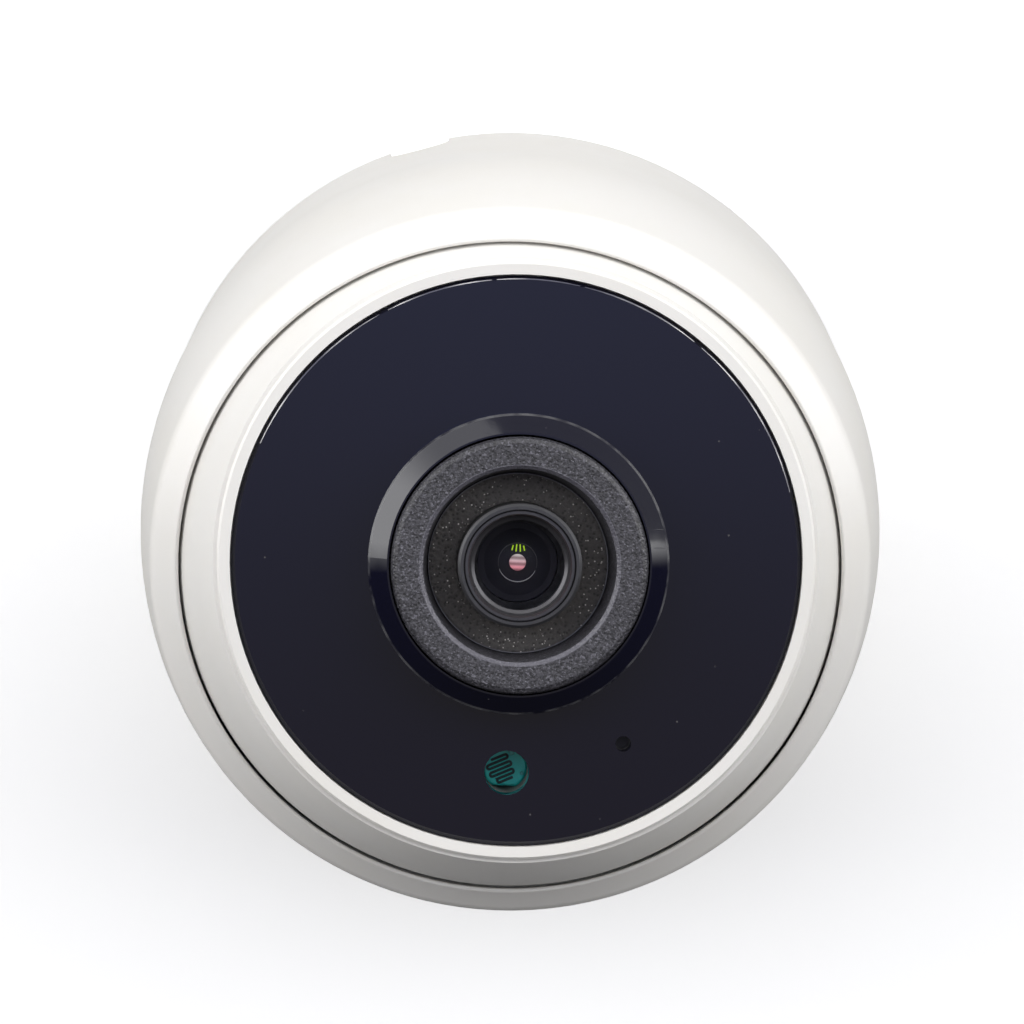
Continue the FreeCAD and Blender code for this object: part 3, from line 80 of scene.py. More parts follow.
def spread_in_ball(node):
    """A CAD node's points in the ball's frame, as (distance from the lens axis, height, x, y)."""
    back = BALL_FRAME.inverted()
    points = [back @ v.co for v in frame["nodes"][node].data.vertices]
    return [(math.hypot(p.x, p.y), p.z, p.x, p.y) for p in points]


def middle_in_ball(node):
    points = spread_in_ball(node)
    xs, ys, zs = ([p[k] for p in points] for k in (2, 3, 1))
    return Vector(((min(xs) + max(xs)) / 2, (min(ys) + max(ys)) / 2, max(zs))), min(zs)


# ---------------------------------------------------------------- shader building


class Value:
    """A number socket that takes part in Python sums, each sum adding a Math node."""

    def __init__(self, look, socket):
        self.look = look
        self.socket = socket

    def _maths(self, operation, first, second):
        inputs = {0: first, 1: second}
        return self.look.add("ShaderNodeMath", {"operation": operation}, inputs).value()

    def __add__(self, other):
        return self._maths("ADD", self, other)

    def __radd__(self, other):
        return self._maths("ADD", other, self)

    def __sub__(self, other):
        return self._maths("SUBTRACT", self, other)

    def __rsub__(self, other):
        return self._maths("SUBTRACT", other, self)

    def __mul__(self, other):
        return self._maths("MULTIPLY", self, other)

    def __rmul__(self, other):
        return self._maths("MULTIPLY", other, self)

    def wave(self):
        return self._maths("SINE", self, 0.0)

    def fade(self, low, high):
        """0 below low, 1 above high, and a smooth step between."""
        node = self.look.add(
            "ShaderNodeMapRange",
            {"interpolation_type": "SMOOTHSTEP"},
            {"Value": self, "From Min": low, "From Max": high},
        )
        return node.value("Result")


class Added:
    """A node just added, whose outputs are read as numbers or as plain sockets."""

    def __init__(self, look, node):
        self.look = look
        self.node = node

    def value(self, name=0):
        return Value(self.look, self.node.outputs[name])

    def socket(self, name=0):
        return self.node.outputs[name]


class Nodes:
    """A node tree, built node by node."""

    def __init__(self, holder, output):
        holder.use_nodes = True
        self.tree = holder.node_tree
        self.tree.nodes.clear()
        self.output = self.tree.nodes.new(output)

    def add(self, kind, settings=None, inputs=None):
        node = self.tree.nodes.new(kind)
        for name, setting in (settings or {}).items():
            if name == "stops":
                ramp = node.color_ramp
                while len(ramp.elements) < len(setting):
                    ramp.elements.new(0.5)
                for element, (place, colour) in zip(ramp.elements, setting):
                    element.position = place
                    element.color = (*colour[:3], 1.0)
            else:
                setattr(node, name, setting)
        for name, given in (inputs or {}).items():
            self.feed(node.inputs[name], given)
        return Added(self, node)

    def feed(self, target, given):
        if isinstance(given, Value):
            given = given.socket
        if isinstance(given, bpy.types.NodeSocket):
            self.tree.links.new(given, target)
        elif target.type == "RGBA" and len(given) == 3:
            target.default_value = (*given, 1.0)
        else:
            target.default_value = given

    def blend(self, amount, first, second):
        """Goes from the first colour to the second."""
        node = self.add("ShaderNodeMix", {"data_type": "RGBA", "blend_type": "MIX"})
        for name, given in (("Factor", amount), ("A", first), ("B", second)):
            kind = "VALUE" if name == "Factor" else "RGBA"
            socket = [s for s in node.node.inputs if s.name == name and s.type == kind][0]
            self.feed(socket, given)
        return [s for s in node.node.outputs if s.type == "RGBA"][0]

    def dot(self, vector, direction):
        """How far a vector reaches along a direction."""
        return self.add(
            "ShaderNodeVectorMath", {"operation": "DOT_PRODUCT"}, {0: vector, 1: tuple(direction)}
        ).value("Value")


class Look(Nodes):
    """A material."""

    def __init__(self, name):
        self.material = bpy.data.materials.new(name)
        super().__init__(self.material, "ShaderNodeOutputMaterial")

    def place(self):
        """Where a point lies on the object, in metres."""
        return self.add("ShaderNodeTexCoord").socket("Object")

    def grain(self, cells_per_metre, detail=2.0, roughness=0.5, where=None, distortion=0.0):
        """Noise from 0 to 1, at a scale given in cells per metre."""
        node = self.add(
            "ShaderNodeTexNoise",
            {"noise_dimensions": "3D"},
            {"Vector": where or self.place(), "Scale": cells_per_metre, "Detail": detail,
             "Roughness": roughness, "Distortion": distortion},
        )
        return node.value("Fac")

    def pits(self, cells_per_metre, feature="F1"):
        node = self.add(
            "ShaderNodeTexVoronoi",
            {"feature": feature},
            {"Vector": self.place(), "Scale": cells_per_metre},
        )
        return node.value("Distance")

    def relief(self, height, depth, strength=1.0, under=None):
        """A bump from a height between 0 and 1 and its real depth in metres."""
        inputs = {"Height": height, "Distance": depth, "Strength": strength}
        if under is not None:
            inputs["Normal"] = under
        return self.add("ShaderNodeBump", None, inputs).socket("Normal")

    def off_axis(self):
        """Distance from the lens axis, and height above the ball's centre, in metres."""
        away = self.add(
            "ShaderNodeVectorMath", {"operation": "SUBTRACT"}, {0: self.place(), 1: CENTRE[:]}
        ).socket("Vector")
        height = self.dot(away, LENS_AXIS)
        across = self.add(
            "ShaderNodeVectorMath", {"operation": "CROSS_PRODUCT"}, {0: away, 1: LENS_AXIS[:]}
        ).socket("Vector")
        distance = self.add(
            "ShaderNodeVectorMath", {"operation": "LENGTH"}, {0: across}
        ).value("Value")
        return distance, height

    def along(self, direction, origin=(0, 0, 0)):
        """How far along a direction a point is, in metres."""
        away = self.add(
            "ShaderNodeVectorMath", {"operation": "SUBTRACT"}, {0: self.place(), 1: tuple(origin)}
        ).socket("Vector")
        return self.dot(away, direction)

    def surface(self, **inputs):
        """The one surface shader, with its sockets given by name (spaces as underscores)."""
        given = {name.replace("_", " "): value for name, value in inputs.items()}
        node = self.add("ShaderNodeBsdfPrincipled", None, given)
        self.tree.links.new(node.socket("BSDF"), self.output.inputs["Surface"])
        return self.material


# ---------------------------------------------------------------- finishes


def shell_finish(settings):
    """Satin off-white ABS: fine mould texture, faint flow mottling, faint dark specks of dust."""
    look = Look("satin_white_shell")
    mottle = look.grain(55.0, 3.0, 0.55)
    fine = look.grain(2600.0, 2.0, 0.6)
    speck = look.grain(900.0, 1.0, 0.5).fade(0.70, 0.82)
    base = tuple(settings.shell_colour)
    warm = tuple(c * k for c, k in zip(base, (0.965, 0.955, 0.93)))
    colour = look.blend(mottle.fade(0.35, 0.75) * 0.55, base, warm)
    colour = look.blend(speck * 0.05, colour, tuple(c * 0.7 for c in base))
    rough = settings.shell_roughness + (mottle - 0.5) * 0.10 + (fine - 0.5) * 0.12
    bumps = look.relief(fine * 0.7 + look.grain(700.0, 1.0) * 0.3, 0.00003, 0.35)
    return look.surface(Base_Color=colour, Roughness=rough, Normal=bumps, IOR=1.53,
                        Coat_Weight=0.12, Coat_Roughness=0.22, Subsurface_Weight=0.04,
                        Subsurface_Radius=(0.003, 0.003, 0.0025), Subsurface_Scale=0.35)


def base_finish(settings):
    """The base and seat ring: the same plastic, less polished, with a coarser mould texture."""
    look = Look("moulded_base_plastic")
    mottle = look.grain(80.0, 3.0)
    fine = look.grain(1500.0, 2.0, 0.6)
    base = tuple(c * 0.93 for c in settings.shell_colour)
    colour = look.blend(mottle * 0.5, base, tuple(c * 0.90 for c in base))
    return look.surface(Base_Color=colour, Roughness=0.50 + (fine - 0.5) * 0.2,
                        Normal=look.relief(fine, 0.00006, 0.5), IOR=1.53)


def panel_finish(settings):
    """Polished dark acrylic that only infrared passes: hairline scratches, a little dust, and a
    painted highlight round the collar's outer edge.
    """
    look = Look("infrared_pass_panel")
    smudge = look.grain(45.0, 3.0, 0.6)
    stretch = look.add(
        "ShaderNodeMapping", {"vector_type": "POINT"},
        {"Vector": look.place(), "Rotation": (0.2, 0.1, 0.7), "Scale": (1.0, 14.0, 1.0)},
    ).socket("Vector")
    hair = look.grain(160.0, 2.0, 0.6, where=stretch).fade(0.66, 0.72)
    dust = look.pits(420.0).fade(0.07, 0.02) * look.grain(220.0).fade(0.58, 0.66)
    deep = tuple(settings.panel_colour)
    colour = look.blend(dust * 0.35, deep, (0.20, 0.19, 0.18))
    rough = 0.035 + smudge.fade(0.5, 0.8) * 0.03 + hair * 0.05 + dust * 0.4
    distance, level = look.off_axis()
    wall = max(p[1] for p in spread_in_ball("front_panel")) - settings.collar_bevel
    # Painted highlight: a light grey band round the collar's outer edge, where its bevel starts.
    # Noise breaks it up, and the band is also a little rougher.
    highlight_band = distance.fade(0.01680, 0.01690) * level.fade(wall - 0.0003, wall - 0.0002)
    painted_highlight = highlight_band * look.grain(380.0, 2.0).fade(0.30, 0.62)
    colour = look.blend(painted_highlight * 0.8, colour, (0.085, 0.085, 0.09))
    rough = rough + painted_highlight * 0.25
    return look.surface(Base_Color=colour, Roughness=rough, IOR=1.49,
                        Normal=look.relief(smudge, 0.00004, 0.12))


def edge_highlight_finish():
    """A clear bead like squeezed-out sealant along one side of the panel's edge. Its milky white
    patches paint the highlight on that edge.
    """
    look = Look("painted_edge_highlight")
    highlight_patches = look.grain(130.0, 2.0)
    # Painted highlight: noise patches turn the clear bead milky white.
    colour = look.blend(highlight_patches.fade(0.38, 0.60), (0.10, 0.10, 0.13), (0.80, 0.79, 0.78))
    return look.surface(Base_Color=colour, Roughness=0.12 + highlight_patches * 0.1, IOR=1.45,
                        Coat_Weight=1.0, Coat_Roughness=0.05,
                        Normal=look.relief(look.grain(1500.0), 0.00002, 0.4))


def hood_finish(settings):
    """Spark-eroded dark plastic: dense shallow pits, rubbed smooth at the outer edge. Painted
    shade darkens that outer edge, a painted highlight lightens the inner edge of the front face,
    and bright specks are painted glints.
    """
    look = Look("spark_eroded_hood")
    grain = look.grain(2600.0, 2.0, 0.7)
    pits = look.pits(3000.0)
    height = grain * 0.65 + pits.fade(0.0, 0.7) * 0.35
    distance, level = look.off_axis()
    front = max(p[1] for p in spread_in_ball("lens_hood"))
    # Painted shade: the outer edge next to the collar is darkened. The same mask also makes that
    # edge smoother.
    rim = distance.fade(0.0136, 0.0144)
    # Painted highlight: a lighter ring at the inner edge of the front face, by the mouth.
    lip = (1.0 - distance.fade(0.01132, 0.01142)) * level.fade(front - 0.0005, front - 0.0003)
    body = tuple(settings.hood_colour)
    glint = look.grain(3400.0, 1.0).fade(0.58, 0.70)
    colour = look.blend(grain.fade(0.38, 0.62), tuple(c * 0.50 for c in body),
                        tuple(c * 1.55 for c in body))
    colour = look.blend(glint * 0.55, colour, tuple(c * 5.0 for c in body))
    colour = look.blend(lip * 0.7, colour, tuple(c * 3.5 for c in body))
    colour = look.blend(rim * 0.4, colour, tuple(c * 0.55 for c in body))
    rough = 0.50 + (grain - 0.5) * 0.35 - rim * 0.20 - lip * 0.15
    return look.surface(Base_Color=colour, Roughness=rough, IOR=1.5,
                        Normal=look.relief(height, 0.00014, 0.85))


def foam_finish():
    """Dark open-cell foam: deep pores with painted shade in them, matt fibres, and a few cells
    painted near white as glints.
    """
    look = Look("open_cell_foam")
    cells = look.pits(1900.0)
    fibre = look.grain(3200.0, 3.0, 0.7)
    painted_glints = look.pits(2100.0).fade(0.24, 0.08) * look.grain(1300.0).fade(0.48, 0.54)
    # Painted shade: the colour darkens towards each pore's middle, where the bump sinks.
    colour = look.blend(cells.fade(0.02, 0.45) * 0.6 + fibre * 0.4,
                        (0.014, 0.0130, 0.0125), (0.105, 0.098, 0.094))
    # Painted glints: a few cells turned near white.
    colour = look.blend(painted_glints, colour, (0.78, 0.74, 0.70))
    return look.surface(Base_Color=colour, Roughness=0.92 - fibre * 0.1, IOR=1.4,
                        Normal=look.relief(cells * 0.6 + fibre * 0.4, 0.00035, 1.0),
                        Sheen_Weight=0.25, Sheen_Roughness=0.6)


def anodised_finish(name, colour, rough):
    """Turned and black anodised metal: fine rings round the lens axis."""
    look = Look(name)
    distance, _ = look.off_axis()
    rings = (distance * TURNING_RINGS).wave() * 0.5 + 0.5
    tone = look.grain(1200.0, 2.0)
    shade = look.blend(tone * 0.5 + rings * 0.3, colour, tuple(c * 1.9 + 0.004 for c in colour))
    return look.surface(Base_Color=shade, Metallic=0.55, Roughness=rough + (tone - 0.5) * 0.14,
                        Normal=look.relief(rings * 0.5 + tone * 0.5, 0.00001, 0.4), IOR=1.6)


def glass_finish(name, tint, alpha, rough=0.015, coat=1.0, bend=1.6):
    """Polished glass, with faint cleaning marks in its roughness."""
    look = Look(name)
    haze = look.grain(260.0, 3.0, 0.6)
    colour = look.blend(haze.fade(0.4, 0.8) * 0.3, tint, tuple(min(c * 1.25, 1.0) for c in tint))
    return look.surface(Base_Color=colour, Roughness=rough + haze.fade(0.6, 0.9) * 0.03,
                        Alpha=alpha, IOR=bend, Coat_Weight=coat, Coat_Roughness=0.01,
                        Normal=look.relief(haze, 0.00001, 0.1))


def dark_glass_finish(name):
    """Deep black coated glass, with almost no gloss of its own."""
    look = Look(name)
    haze = look.grain(420.0, 2.0)
    colour = look.blend(haze, (0.040, 0.040, 0.054), (0.052, 0.050, 0.066))
    return look.surface(Base_Color=colour, Roughness=0.10 + haze * 0.04, IOR=1.22)


def glint_finish(name, colour, glow, far=None):
    """A small painted glint of the lens coating, which glows by its own emission. It may go to a
    second colour across itself.
    """
    look = Look(name)
    mist = look.grain(3600.0, 2.0)
    shade = look.blend(mist * 0.4, colour, tuple(c * 0.6 for c in colour))
    if far is not None:
        across = look.along(UP_AXIS, CENTRE).fade(-0.0008, 0.0008)
        bars = (look.along(UP_AXIS, CENTRE) * 9000.0).wave() * 0.5 + 0.5
        shade = look.blend(across, shade, far)
        shade = look.blend(bars * 0.75, shade, (0.16, 0.07, 0.08))
    return look.surface(Base_Color=shade, Roughness=0.25 + mist * 0.1, IOR=1.5,
                        Emission_Color=shade, Emission_Strength=glow)


def soft_finish(name, colour, cells, rough, depth):
    """Rubber, silicone, tape and pad: matt, with a fine cloudy texture."""
    look = Look(name)
    cloud = look.grain(150.0, 3.0)
    fine = look.grain(cells, 2.0, 0.6)
    shade = look.blend(cloud * 0.6 + fine * 0.3, colour, tuple(c * 0.72 for c in colour))
    return look.surface(Base_Color=shade, Roughness=rough + (fine - 0.5) * 0.14, IOR=1.45,
                        Normal=look.relief(fine, depth, 0.6))


def moulded_finish(name, colour, rough=0.42, cells=1700.0, depth=0.00004):
    look = Look(name)
    cloud = look.grain(120.0, 2.0)
    fine = look.grain(cells, 2.0, 0.6)
    shade = look.blend(cloud * 0.5 + fine * 0.2, colour, tuple(c * 0.80 for c in colour))
    return look.surface(Base_Color=shade, Roughness=rough + (fine - 0.5) * 0.16, IOR=1.5,
                        Normal=look.relief(fine, depth, 0.5))


def metal_finish(name, colour, rough=0.28, streak=(1.0, 1.0, 18.0)):
    """Bright metal with drawn or brushed streaks and a little dullness."""
    look = Look(name)
    where = look.add(
        "ShaderNodeMapping", {"vector_type": "POINT"}, {"Vector": look.place(), "Scale": streak}
    ).socket("Vector")
    lines = look.grain(900.0, 3.0, 0.6, where=where)
    dull = look.grain(190.0, 3.0)
    shade = look.blend(dull.fade(0.4, 0.8) * 0.5, colour, tuple(c * 0.66 for c in colour))
    return look.surface(Base_Color=shade, Metallic=1.0,
                        Roughness=rough + (lines - 0.5) * 0.2 + dull * 0.08,
                        Normal=look.relief(lines, 0.00002, 0.4))


def board_finish():
    """Green solder resist over faint copper traces and glass weave."""
    look = Look("solder_resist")
    weave = (look.along(SIDE_AXIS) * WEAVE).wave() * (look.along(UP_AXIS) * WEAVE).wave()
    traces = look.add(
        "ShaderNodeTexBrick", {"offset": 0.5, "squash": 1.0},
        {"Vector": look.place(), "Color1": (1, 1, 1, 1), "Color2": (0.4, 0.4, 0.4, 1),
         "Mortar": (0, 0, 0, 1), "Scale": 260.0, "Mortar Size": 0.05},
    ).value("Fac")
    colour = look.blend(traces * 0.8, (0.012, 0.085, 0.035), (0.035, 0.20, 0.085))
    return look.surface(Base_Color=colour, Roughness=0.26 + (weave * 0.03), IOR=1.55,
                        Normal=look.relief(traces * 0.8 + weave * 0.2, 0.00003, 0.5),
                        Coat_Weight=0.6, Coat_Roughness=0.12)


def cell_finish(settings):
    """The photoresistor's glazed teal face."""
    look = Look("teal_cell_face")
    cloud = look.grain(700.0, 3.0)
    fine = look.grain(4200.0, 2.0)
    colour = look.blend(cloud * 0.6, tuple(settings.cell_colour),
                        tuple(c * 0.62 for c in settings.cell_colour))
    return look.surface(Base_Color=colour, Roughness=0.34 + fine * 0.12, IOR=1.5,
                        Normal=look.relief(fine, 0.00003, 0.5),
                        Coat_Weight=0.5, Coat_Roughness=0.1)


def track_finish():
    """The dark sensing track laid over the cell's face."""
    look = Look("sensing_track")
    grit = look.grain(5200.0, 3.0, 0.7)
    colour = look.blend(grit, (0.002, 0.012, 0.013), (0.006, 0.026, 0.026))
    return look.surface(Base_Color=colour, Roughness=0.55 + grit * 0.2, IOR=1.5,
                        Normal=look.relief(grit, 0.00003, 0.6))


def floor_finish(settings):
    """Pale paper sweep. It gives little light back to the object, as the studio floor is wide."""
    look = Look("pale_floor")
    fibre = look.grain(420.0, 3.0, 0.6)
    cloud = look.grain(5.0, 2.0)
    base = tuple(settings.floor_colour)
    colour = look.blend(cloud * 0.4 + fibre * 0.1, base, tuple(c * 0.985 for c in base))
    path = look.add("ShaderNodeLightPath")
    seen, mirrored = path.value("Is Camera Ray"), path.value("Is Glossy Ray")
    dim = look.blend(seen + mirrored * settings.floor_mirror,
                     tuple(c * settings.floor_bounce for c in base), colour)
    return look.surface(Base_Color=dim, Roughness=0.8, Specular_IOR_Level=0.2,
                        Emission_Color=look.blend(seen, (0, 0, 0), base),
                        Emission_Strength=settings.floor_glow,
                        Normal=look.relief(fibre, 0.00004, 0.3))


# ---------------------------------------------------------------- meshes


def new_piece(name, mesh_builder, material, body, replaces=(), smooth=True):
    """Turns a built mesh into a piece that moves with a body."""
    mesh = bpy.data.meshes.new(name)
    shape = bmesh.new()
    mesh_builder(shape)
    bmesh.ops.recalc_face_normals(shape, faces=shape.faces)
    shape.to_mesh(mesh)
    shape.free()
    for face in mesh.polygons:
        face.use_smooth = smooth
    mesh.materials.append(material)
    piece = bpy.data.objects.new(name, mesh)
    bpy.context.scene.collection.objects.link(piece)
    if smooth:
        mesh.shade_smooth() if hasattr(mesh, "shade_smooth") else None
        mesh.set_sharp_from_angle(angle=math.radians(35)) if hasattr(
            mesh, "set_sharp_from_angle") else None
    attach(piece, body)
    for node in replaces:
        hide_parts(node)
    return piece


def lathe(shape, outline, steps, frame_matrix, wobble=None, closed=True):
    """Turns a closed outline of (radius, height) round the frame's axis."""
    rings = []
    for k in range(steps):
        turn = 2 * math.pi * k / steps
        ring = []
        for j, (radius, height) in enumerate(outline):
            r, z = (radius, height) if wobble is None else wobble(radius, height, turn, j)
            ring.append(shape.verts.new(frame_matrix @ Vector((r * math.cos(turn),
                                                               r * math.sin(turn), z))))
        rings.append(ring)
    count = len(outline)
    last = count if closed else count - 1
    for k in range(steps):
        one, two = rings[k], rings[(k + 1) % steps]
        for j in range(last):
            i = (j + 1) % count
            shape.faces.new((one[j], two[j], two[i], one[i]))


def bead(radius, thick, height, *spans):
    """Builds thin beads that taper at both ends, on arcs about the lens axis, in degrees."""
    sides = 8

    def build(shape):
        for first, last in spans:
            steps = max(int((last - first) / 3), 6)
            rings = []
            for k in range(steps + 1):
                turn = math.radians(first + (last - first) * k / steps)
                girth = thick * math.sin(math.pi * (0.06 + 0.88 * k / steps)) ** 0.5
                ring = []
                for m in range(sides):
                    around = 2 * math.pi * m / sides
                    r = radius + girth * math.cos(around)
                    spot = (r * math.cos(turn), r * math.sin(turn),
                            height + girth * 0.5 * math.sin(around))
                    ring.append(shape.verts.new(BALL_FRAME @ Vector(spot)))
                rings.append(ring)
            for one, two in zip(rings, rings[1:]):
                for m in range(sides):
                    n = (m + 1) % sides
                    shape.faces.new((one[m], two[m], two[n], one[n]))
            shape.faces.new(rings[-1])
            shape.faces.new(list(reversed(rings[0])))

    return build


def cast(*finishes):
    """Pairs CAD nodes with their finishes: assigns each finish to the node's material slots."""
    for material, nodes in finishes:
        for name in nodes:
            piece = frame["nodes"][name]
            if not piece.material_slots:
                piece.data.materials.append(material)
            for slot in piece.material_slots:
                slot.material = material


# ---------------------------------------------------------------- settings


class DomeCameraSettings(bpy.types.PropertyGroup):
    """Colours and sizes that can be changed."""

    shell_colour: FloatVectorProperty(
        name="Shell colour", description="Colour of the cover and the ball", subtype="COLOR",
        default=(0.80, 0.785, 0.755), min=0.0, max=1.0)
    shell_roughness: FloatProperty(
        name="Shell roughness", description="How matt the white plastic is", subtype="FACTOR",
        default=0.40, min=0.05, max=1.0)
    panel_colour: FloatVectorProperty(
        name="Panel colour", description="Body colour of the dark panel", subtype="COLOR",
        default=(0.0035, 0.0035, 0.012), min=0.0, max=1.0)
    panel_thickness: FloatProperty(
        name="Panel thickness", description="Thickness of the dark panel", subtype="DISTANCE",
        unit="LENGTH", default=0.002, min=0.0, max=0.01)
    collar_bevel: FloatProperty(
        name="Collar bevel", description="How far the collar's bevel rises", subtype="DISTANCE",
        unit="LENGTH", default=0.0018, min=0.0, max=0.006)
    hood_colour: FloatVectorProperty(
        name="Hood colour", description="Colour of the grained ring round the lens",
        subtype="COLOR", default=(0.039, 0.038, 0.045), min=0.0, max=1.0)
    cell_colour: FloatVectorProperty(
        name="Cell colour", description="Colour of the photoresistor's face", subtype="COLOR",
        default=(0.010, 0.680, 0.620), min=0.0, max=1.0)
    floor_colour: FloatVectorProperty(
        name="Floor colour", description="Colour of the floor", subtype="COLOR",
        default=(0.95, 0.95, 0.95), min=0.0, max=1.0)
    floor_bounce: FloatProperty(
        name="Floor bounce", description="How much light the floor gives back to the object",
        subtype="FACTOR", default=0.20, min=0.0, max=1.0)
    floor_mirror: FloatProperty(
        name="Floor mirror", description="How bright the floor is where the panel mirrors it",
        subtype="FACTOR", default=0.32, min=0.0, max=1.0)
    floor_glow: FloatProperty(
        name="Floor glow", description="How much the floor is lifted towards white",
        subtype="FACTOR", default=0.31, min=0.0, max=1.0)
    foam_grain: FloatProperty(
        name="Foam grain", description="How far the foam's cells stand out",
        subtype="DISTANCE", unit="LENGTH", default=0.00016, min=0.0, max=0.0005)
    pupil_size: FloatProperty(
        name="Pupil size", description="Width of the bright middle of the lens",
        subtype="DISTANCE", unit="LENGTH", default=0.0019, min=0.0005, max=0.004)
    track_width: FloatProperty(
        name="Track width", description="Width of the photoresistor's track",
        subtype="DISTANCE", unit="LENGTH", default=0.00034, min=0.0001, max=0.001)
    track_lean: FloatProperty(
        name="Track lean", description="How far the track is turned on its face",
        subtype="ANGLE", unit="ROTATION", default=math.radians(205), min=-7.0, max=7.0)
    track_rows: IntProperty(
        name="Track rows", description="How many times the track runs across the cell",
        default=7, min=2, max=9)


class StageSettings(bpy.types.PropertyGroup):
    """Where the camera stands, and how bright the lights are."""

    eye: FloatVectorProperty(
        name="Eye", description="Where the camera stands", subtype="TRANSLATION",
        unit="LENGTH", default=(0.019866, -0.080059, 0.416313))
    turn: FloatVectorProperty(
        name="Turn", description="How the camera is turned", subtype="EULER",
        default=(math.radians(-11.74929), math.radians(0.02925), math.radians(-165.76433)))
    lens: FloatProperty(
        name="Lens", description="Focal length", unit="CAMERA", default=110.695, min=10.0)
    key: FloatProperty(
        name="Key light", description="Power of the main soft light", unit="POWER",
        default=0.25, min=0.0)
    front: FloatVectorProperty(
        name="Front", description="The side that the light comes from", subtype="DIRECTION",
        default=(0.246, -0.969, 0.0))
    surround: FloatProperty(
        name="Surround", description="Brightness of the white surround on the front side",
        subtype="FACTOR", default=1.15, min=0.0, max=5.0)
    windows: FloatProperty(
        name="Windows", description="How much brighter the surround is to the left and right",
        subtype="FACTOR", default=1.8, min=0.0, max=5.0)
    fill: FloatProperty(
        name="Fill", description="Brightness of the surround on its dark side",
        subtype="FACTOR", default=0.05, min=0.0, max=2.0)
    tent_bright: FloatVectorProperty(
        name="Bright overhead", description="The overhead tent towards the key light",
        subtype="COLOR", default=(0.58, 0.64, 0.98), min=0.0, max=1.0)
    tent_dark: FloatVectorProperty(
        name="Dark overhead", description="The overhead tent away from the key light",
        subtype="COLOR", default=(0.30, 0.27, 0.22), min=0.0, max=1.0)


# ---------------------------------------------------------------- operators


class DOMECAM_OT_shells(bpy.types.Operator):
    """Gives the cover, the ball's halves, the base and the rings their plastic and silicone"""

    bl_idname = "domecam.shells"
    bl_label = "Shells"

    def execute(self, context):
        settings = context.scene.dome_camera
        cast(
            (shell_finish(settings), ("outer_cover", "ball_front", "ball_back")),
            (base_finish(settings), ("mounting_base", "seat_ring")),
            (soft_finish("clear_silicone", (0.66, 0.66, 0.64), 1300.0, 0.55, 0.00005),
             ("friction_ring",)),
            (soft_finish("grey_silicone", (0.30, 0.30, 0.29), 1300.0, 0.62, 0.00005),
             ("light_sleeve", "mic_boot")),
            (moulded_finish("black_bush", (0.018, 0.018, 0.019), 0.5), ("cable_swivel",)),
            (metal_finish("spring_clip", (0.42, 0.42, 0.42), 0.32), ("swivel_clip",)),
        )
        return {"FINISHED"}


class DOMECAM_OT_face(bpy.types.Operator):
    """Gives the dark panel, its tape, the hood and the light port's window their finishes"""

    bl_idname = "domecam.face"
    bl_label = "Face"

    def execute(self, context):
        settings = context.scene.dome_camera
        cast(
            (panel_finish(settings), ("front_panel",)),
            (hood_finish(settings), ("lens_hood",)),
            (soft_finish("panel_tape", (0.012, 0.012, 0.012), 1900.0, 0.8, 0.00006),
             ("panel_tape",)),
            (glass_finish("port_window", (0.02, 0.05, 0.05), 0.04, coat=0.0, bend=1.08),
             ("light_window",)),
            (glass_finish("clear_pane", (0.82, 0.85, 0.86), 0.20),
             ("night_pane", "sensor_glass")),
            (glass_finish("cut_pane", (0.35, 0.62, 0.66), 0.45), ("day_pane",)),
            (soft_finish("capsule_felt", (0.17, 0.165, 0.17), 2600.0, 0.85, 0.00008),
             ("mic_capsule",)),
        )
        points = spread_in_ball("front_panel")
        edge = max(p[0] for p in points)
        face = min(p[1] for p in points) + settings.panel_thickness
        # Painted highlight: broken bead segments just inside the panel's edge, on one side only.
        line = bead(edge - 0.00038, 0.00010, face - 0.00006, (-163, -128), (-126, -101),
                    (-100, -83), (-82, -60), (-58, -22))
        new_piece("panel_edge_highlight", line, edge_highlight_finish(), "ball")
        return {"FINISHED"}


class DOMECAM_OT_foam(bpy.types.Operator):
    """Makes the granular foam ring that lies round the lens"""

    bl_idname = "domecam.foam"
    bl_label = "Foam ring"

    def execute(self, context):
        settings = context.scene.dome_camera
        points = spread_in_ball("foam_ring")
        inner, outer = min(p[0] for p in points), max(p[0] for p in points)
        low, high = min(p[1] for p in points), max(p[1] for p in points)
        across, up = 16, 4
        top = high - settings.foam_grain
        outline = [(inner + (outer - inner) * k / across, top) for k in range(across + 1)]
        outline += [(outer, top + (low - top) * k / up) for k in range(1, up + 1)]
        outline += [(inner, low + (top - low) * k / up) for k in range(up)]

        def cells(radius, height, turn, j):
            if j > across:
                return radius, height
            spot = Vector((radius * math.cos(turn), radius * math.sin(turn), 0.0)) / 0.00042
            rough = noise.noise(spot) * 0.6 + noise.noise(spot * 2.3) * 0.4
            edge = min(j, across - j) / 2.0
            droop = 0.00022 * max(0.0, 1.0 - edge)
            return radius, height + rough * settings.foam_grain - droop

        # A thin moulded lip at the foam's edge. It is coloured lighter than the hood as a painted
        # highlight line.
        new_piece("well_lip_highlight", bead(outer - 0.00002, 0.00007, high + 0.00004, (0, 359.5)),
                  anodised_finish("well_lip_highlight", (0.10, 0.10, 0.11), 0.35), "ball")
        new_piece("foam_gasket", lambda shape: lathe(shape, outline, 420, BALL_FRAME, cells),
                  foam_finish(), "ball", ("foam_ring",))
        return {"FINISHED"}


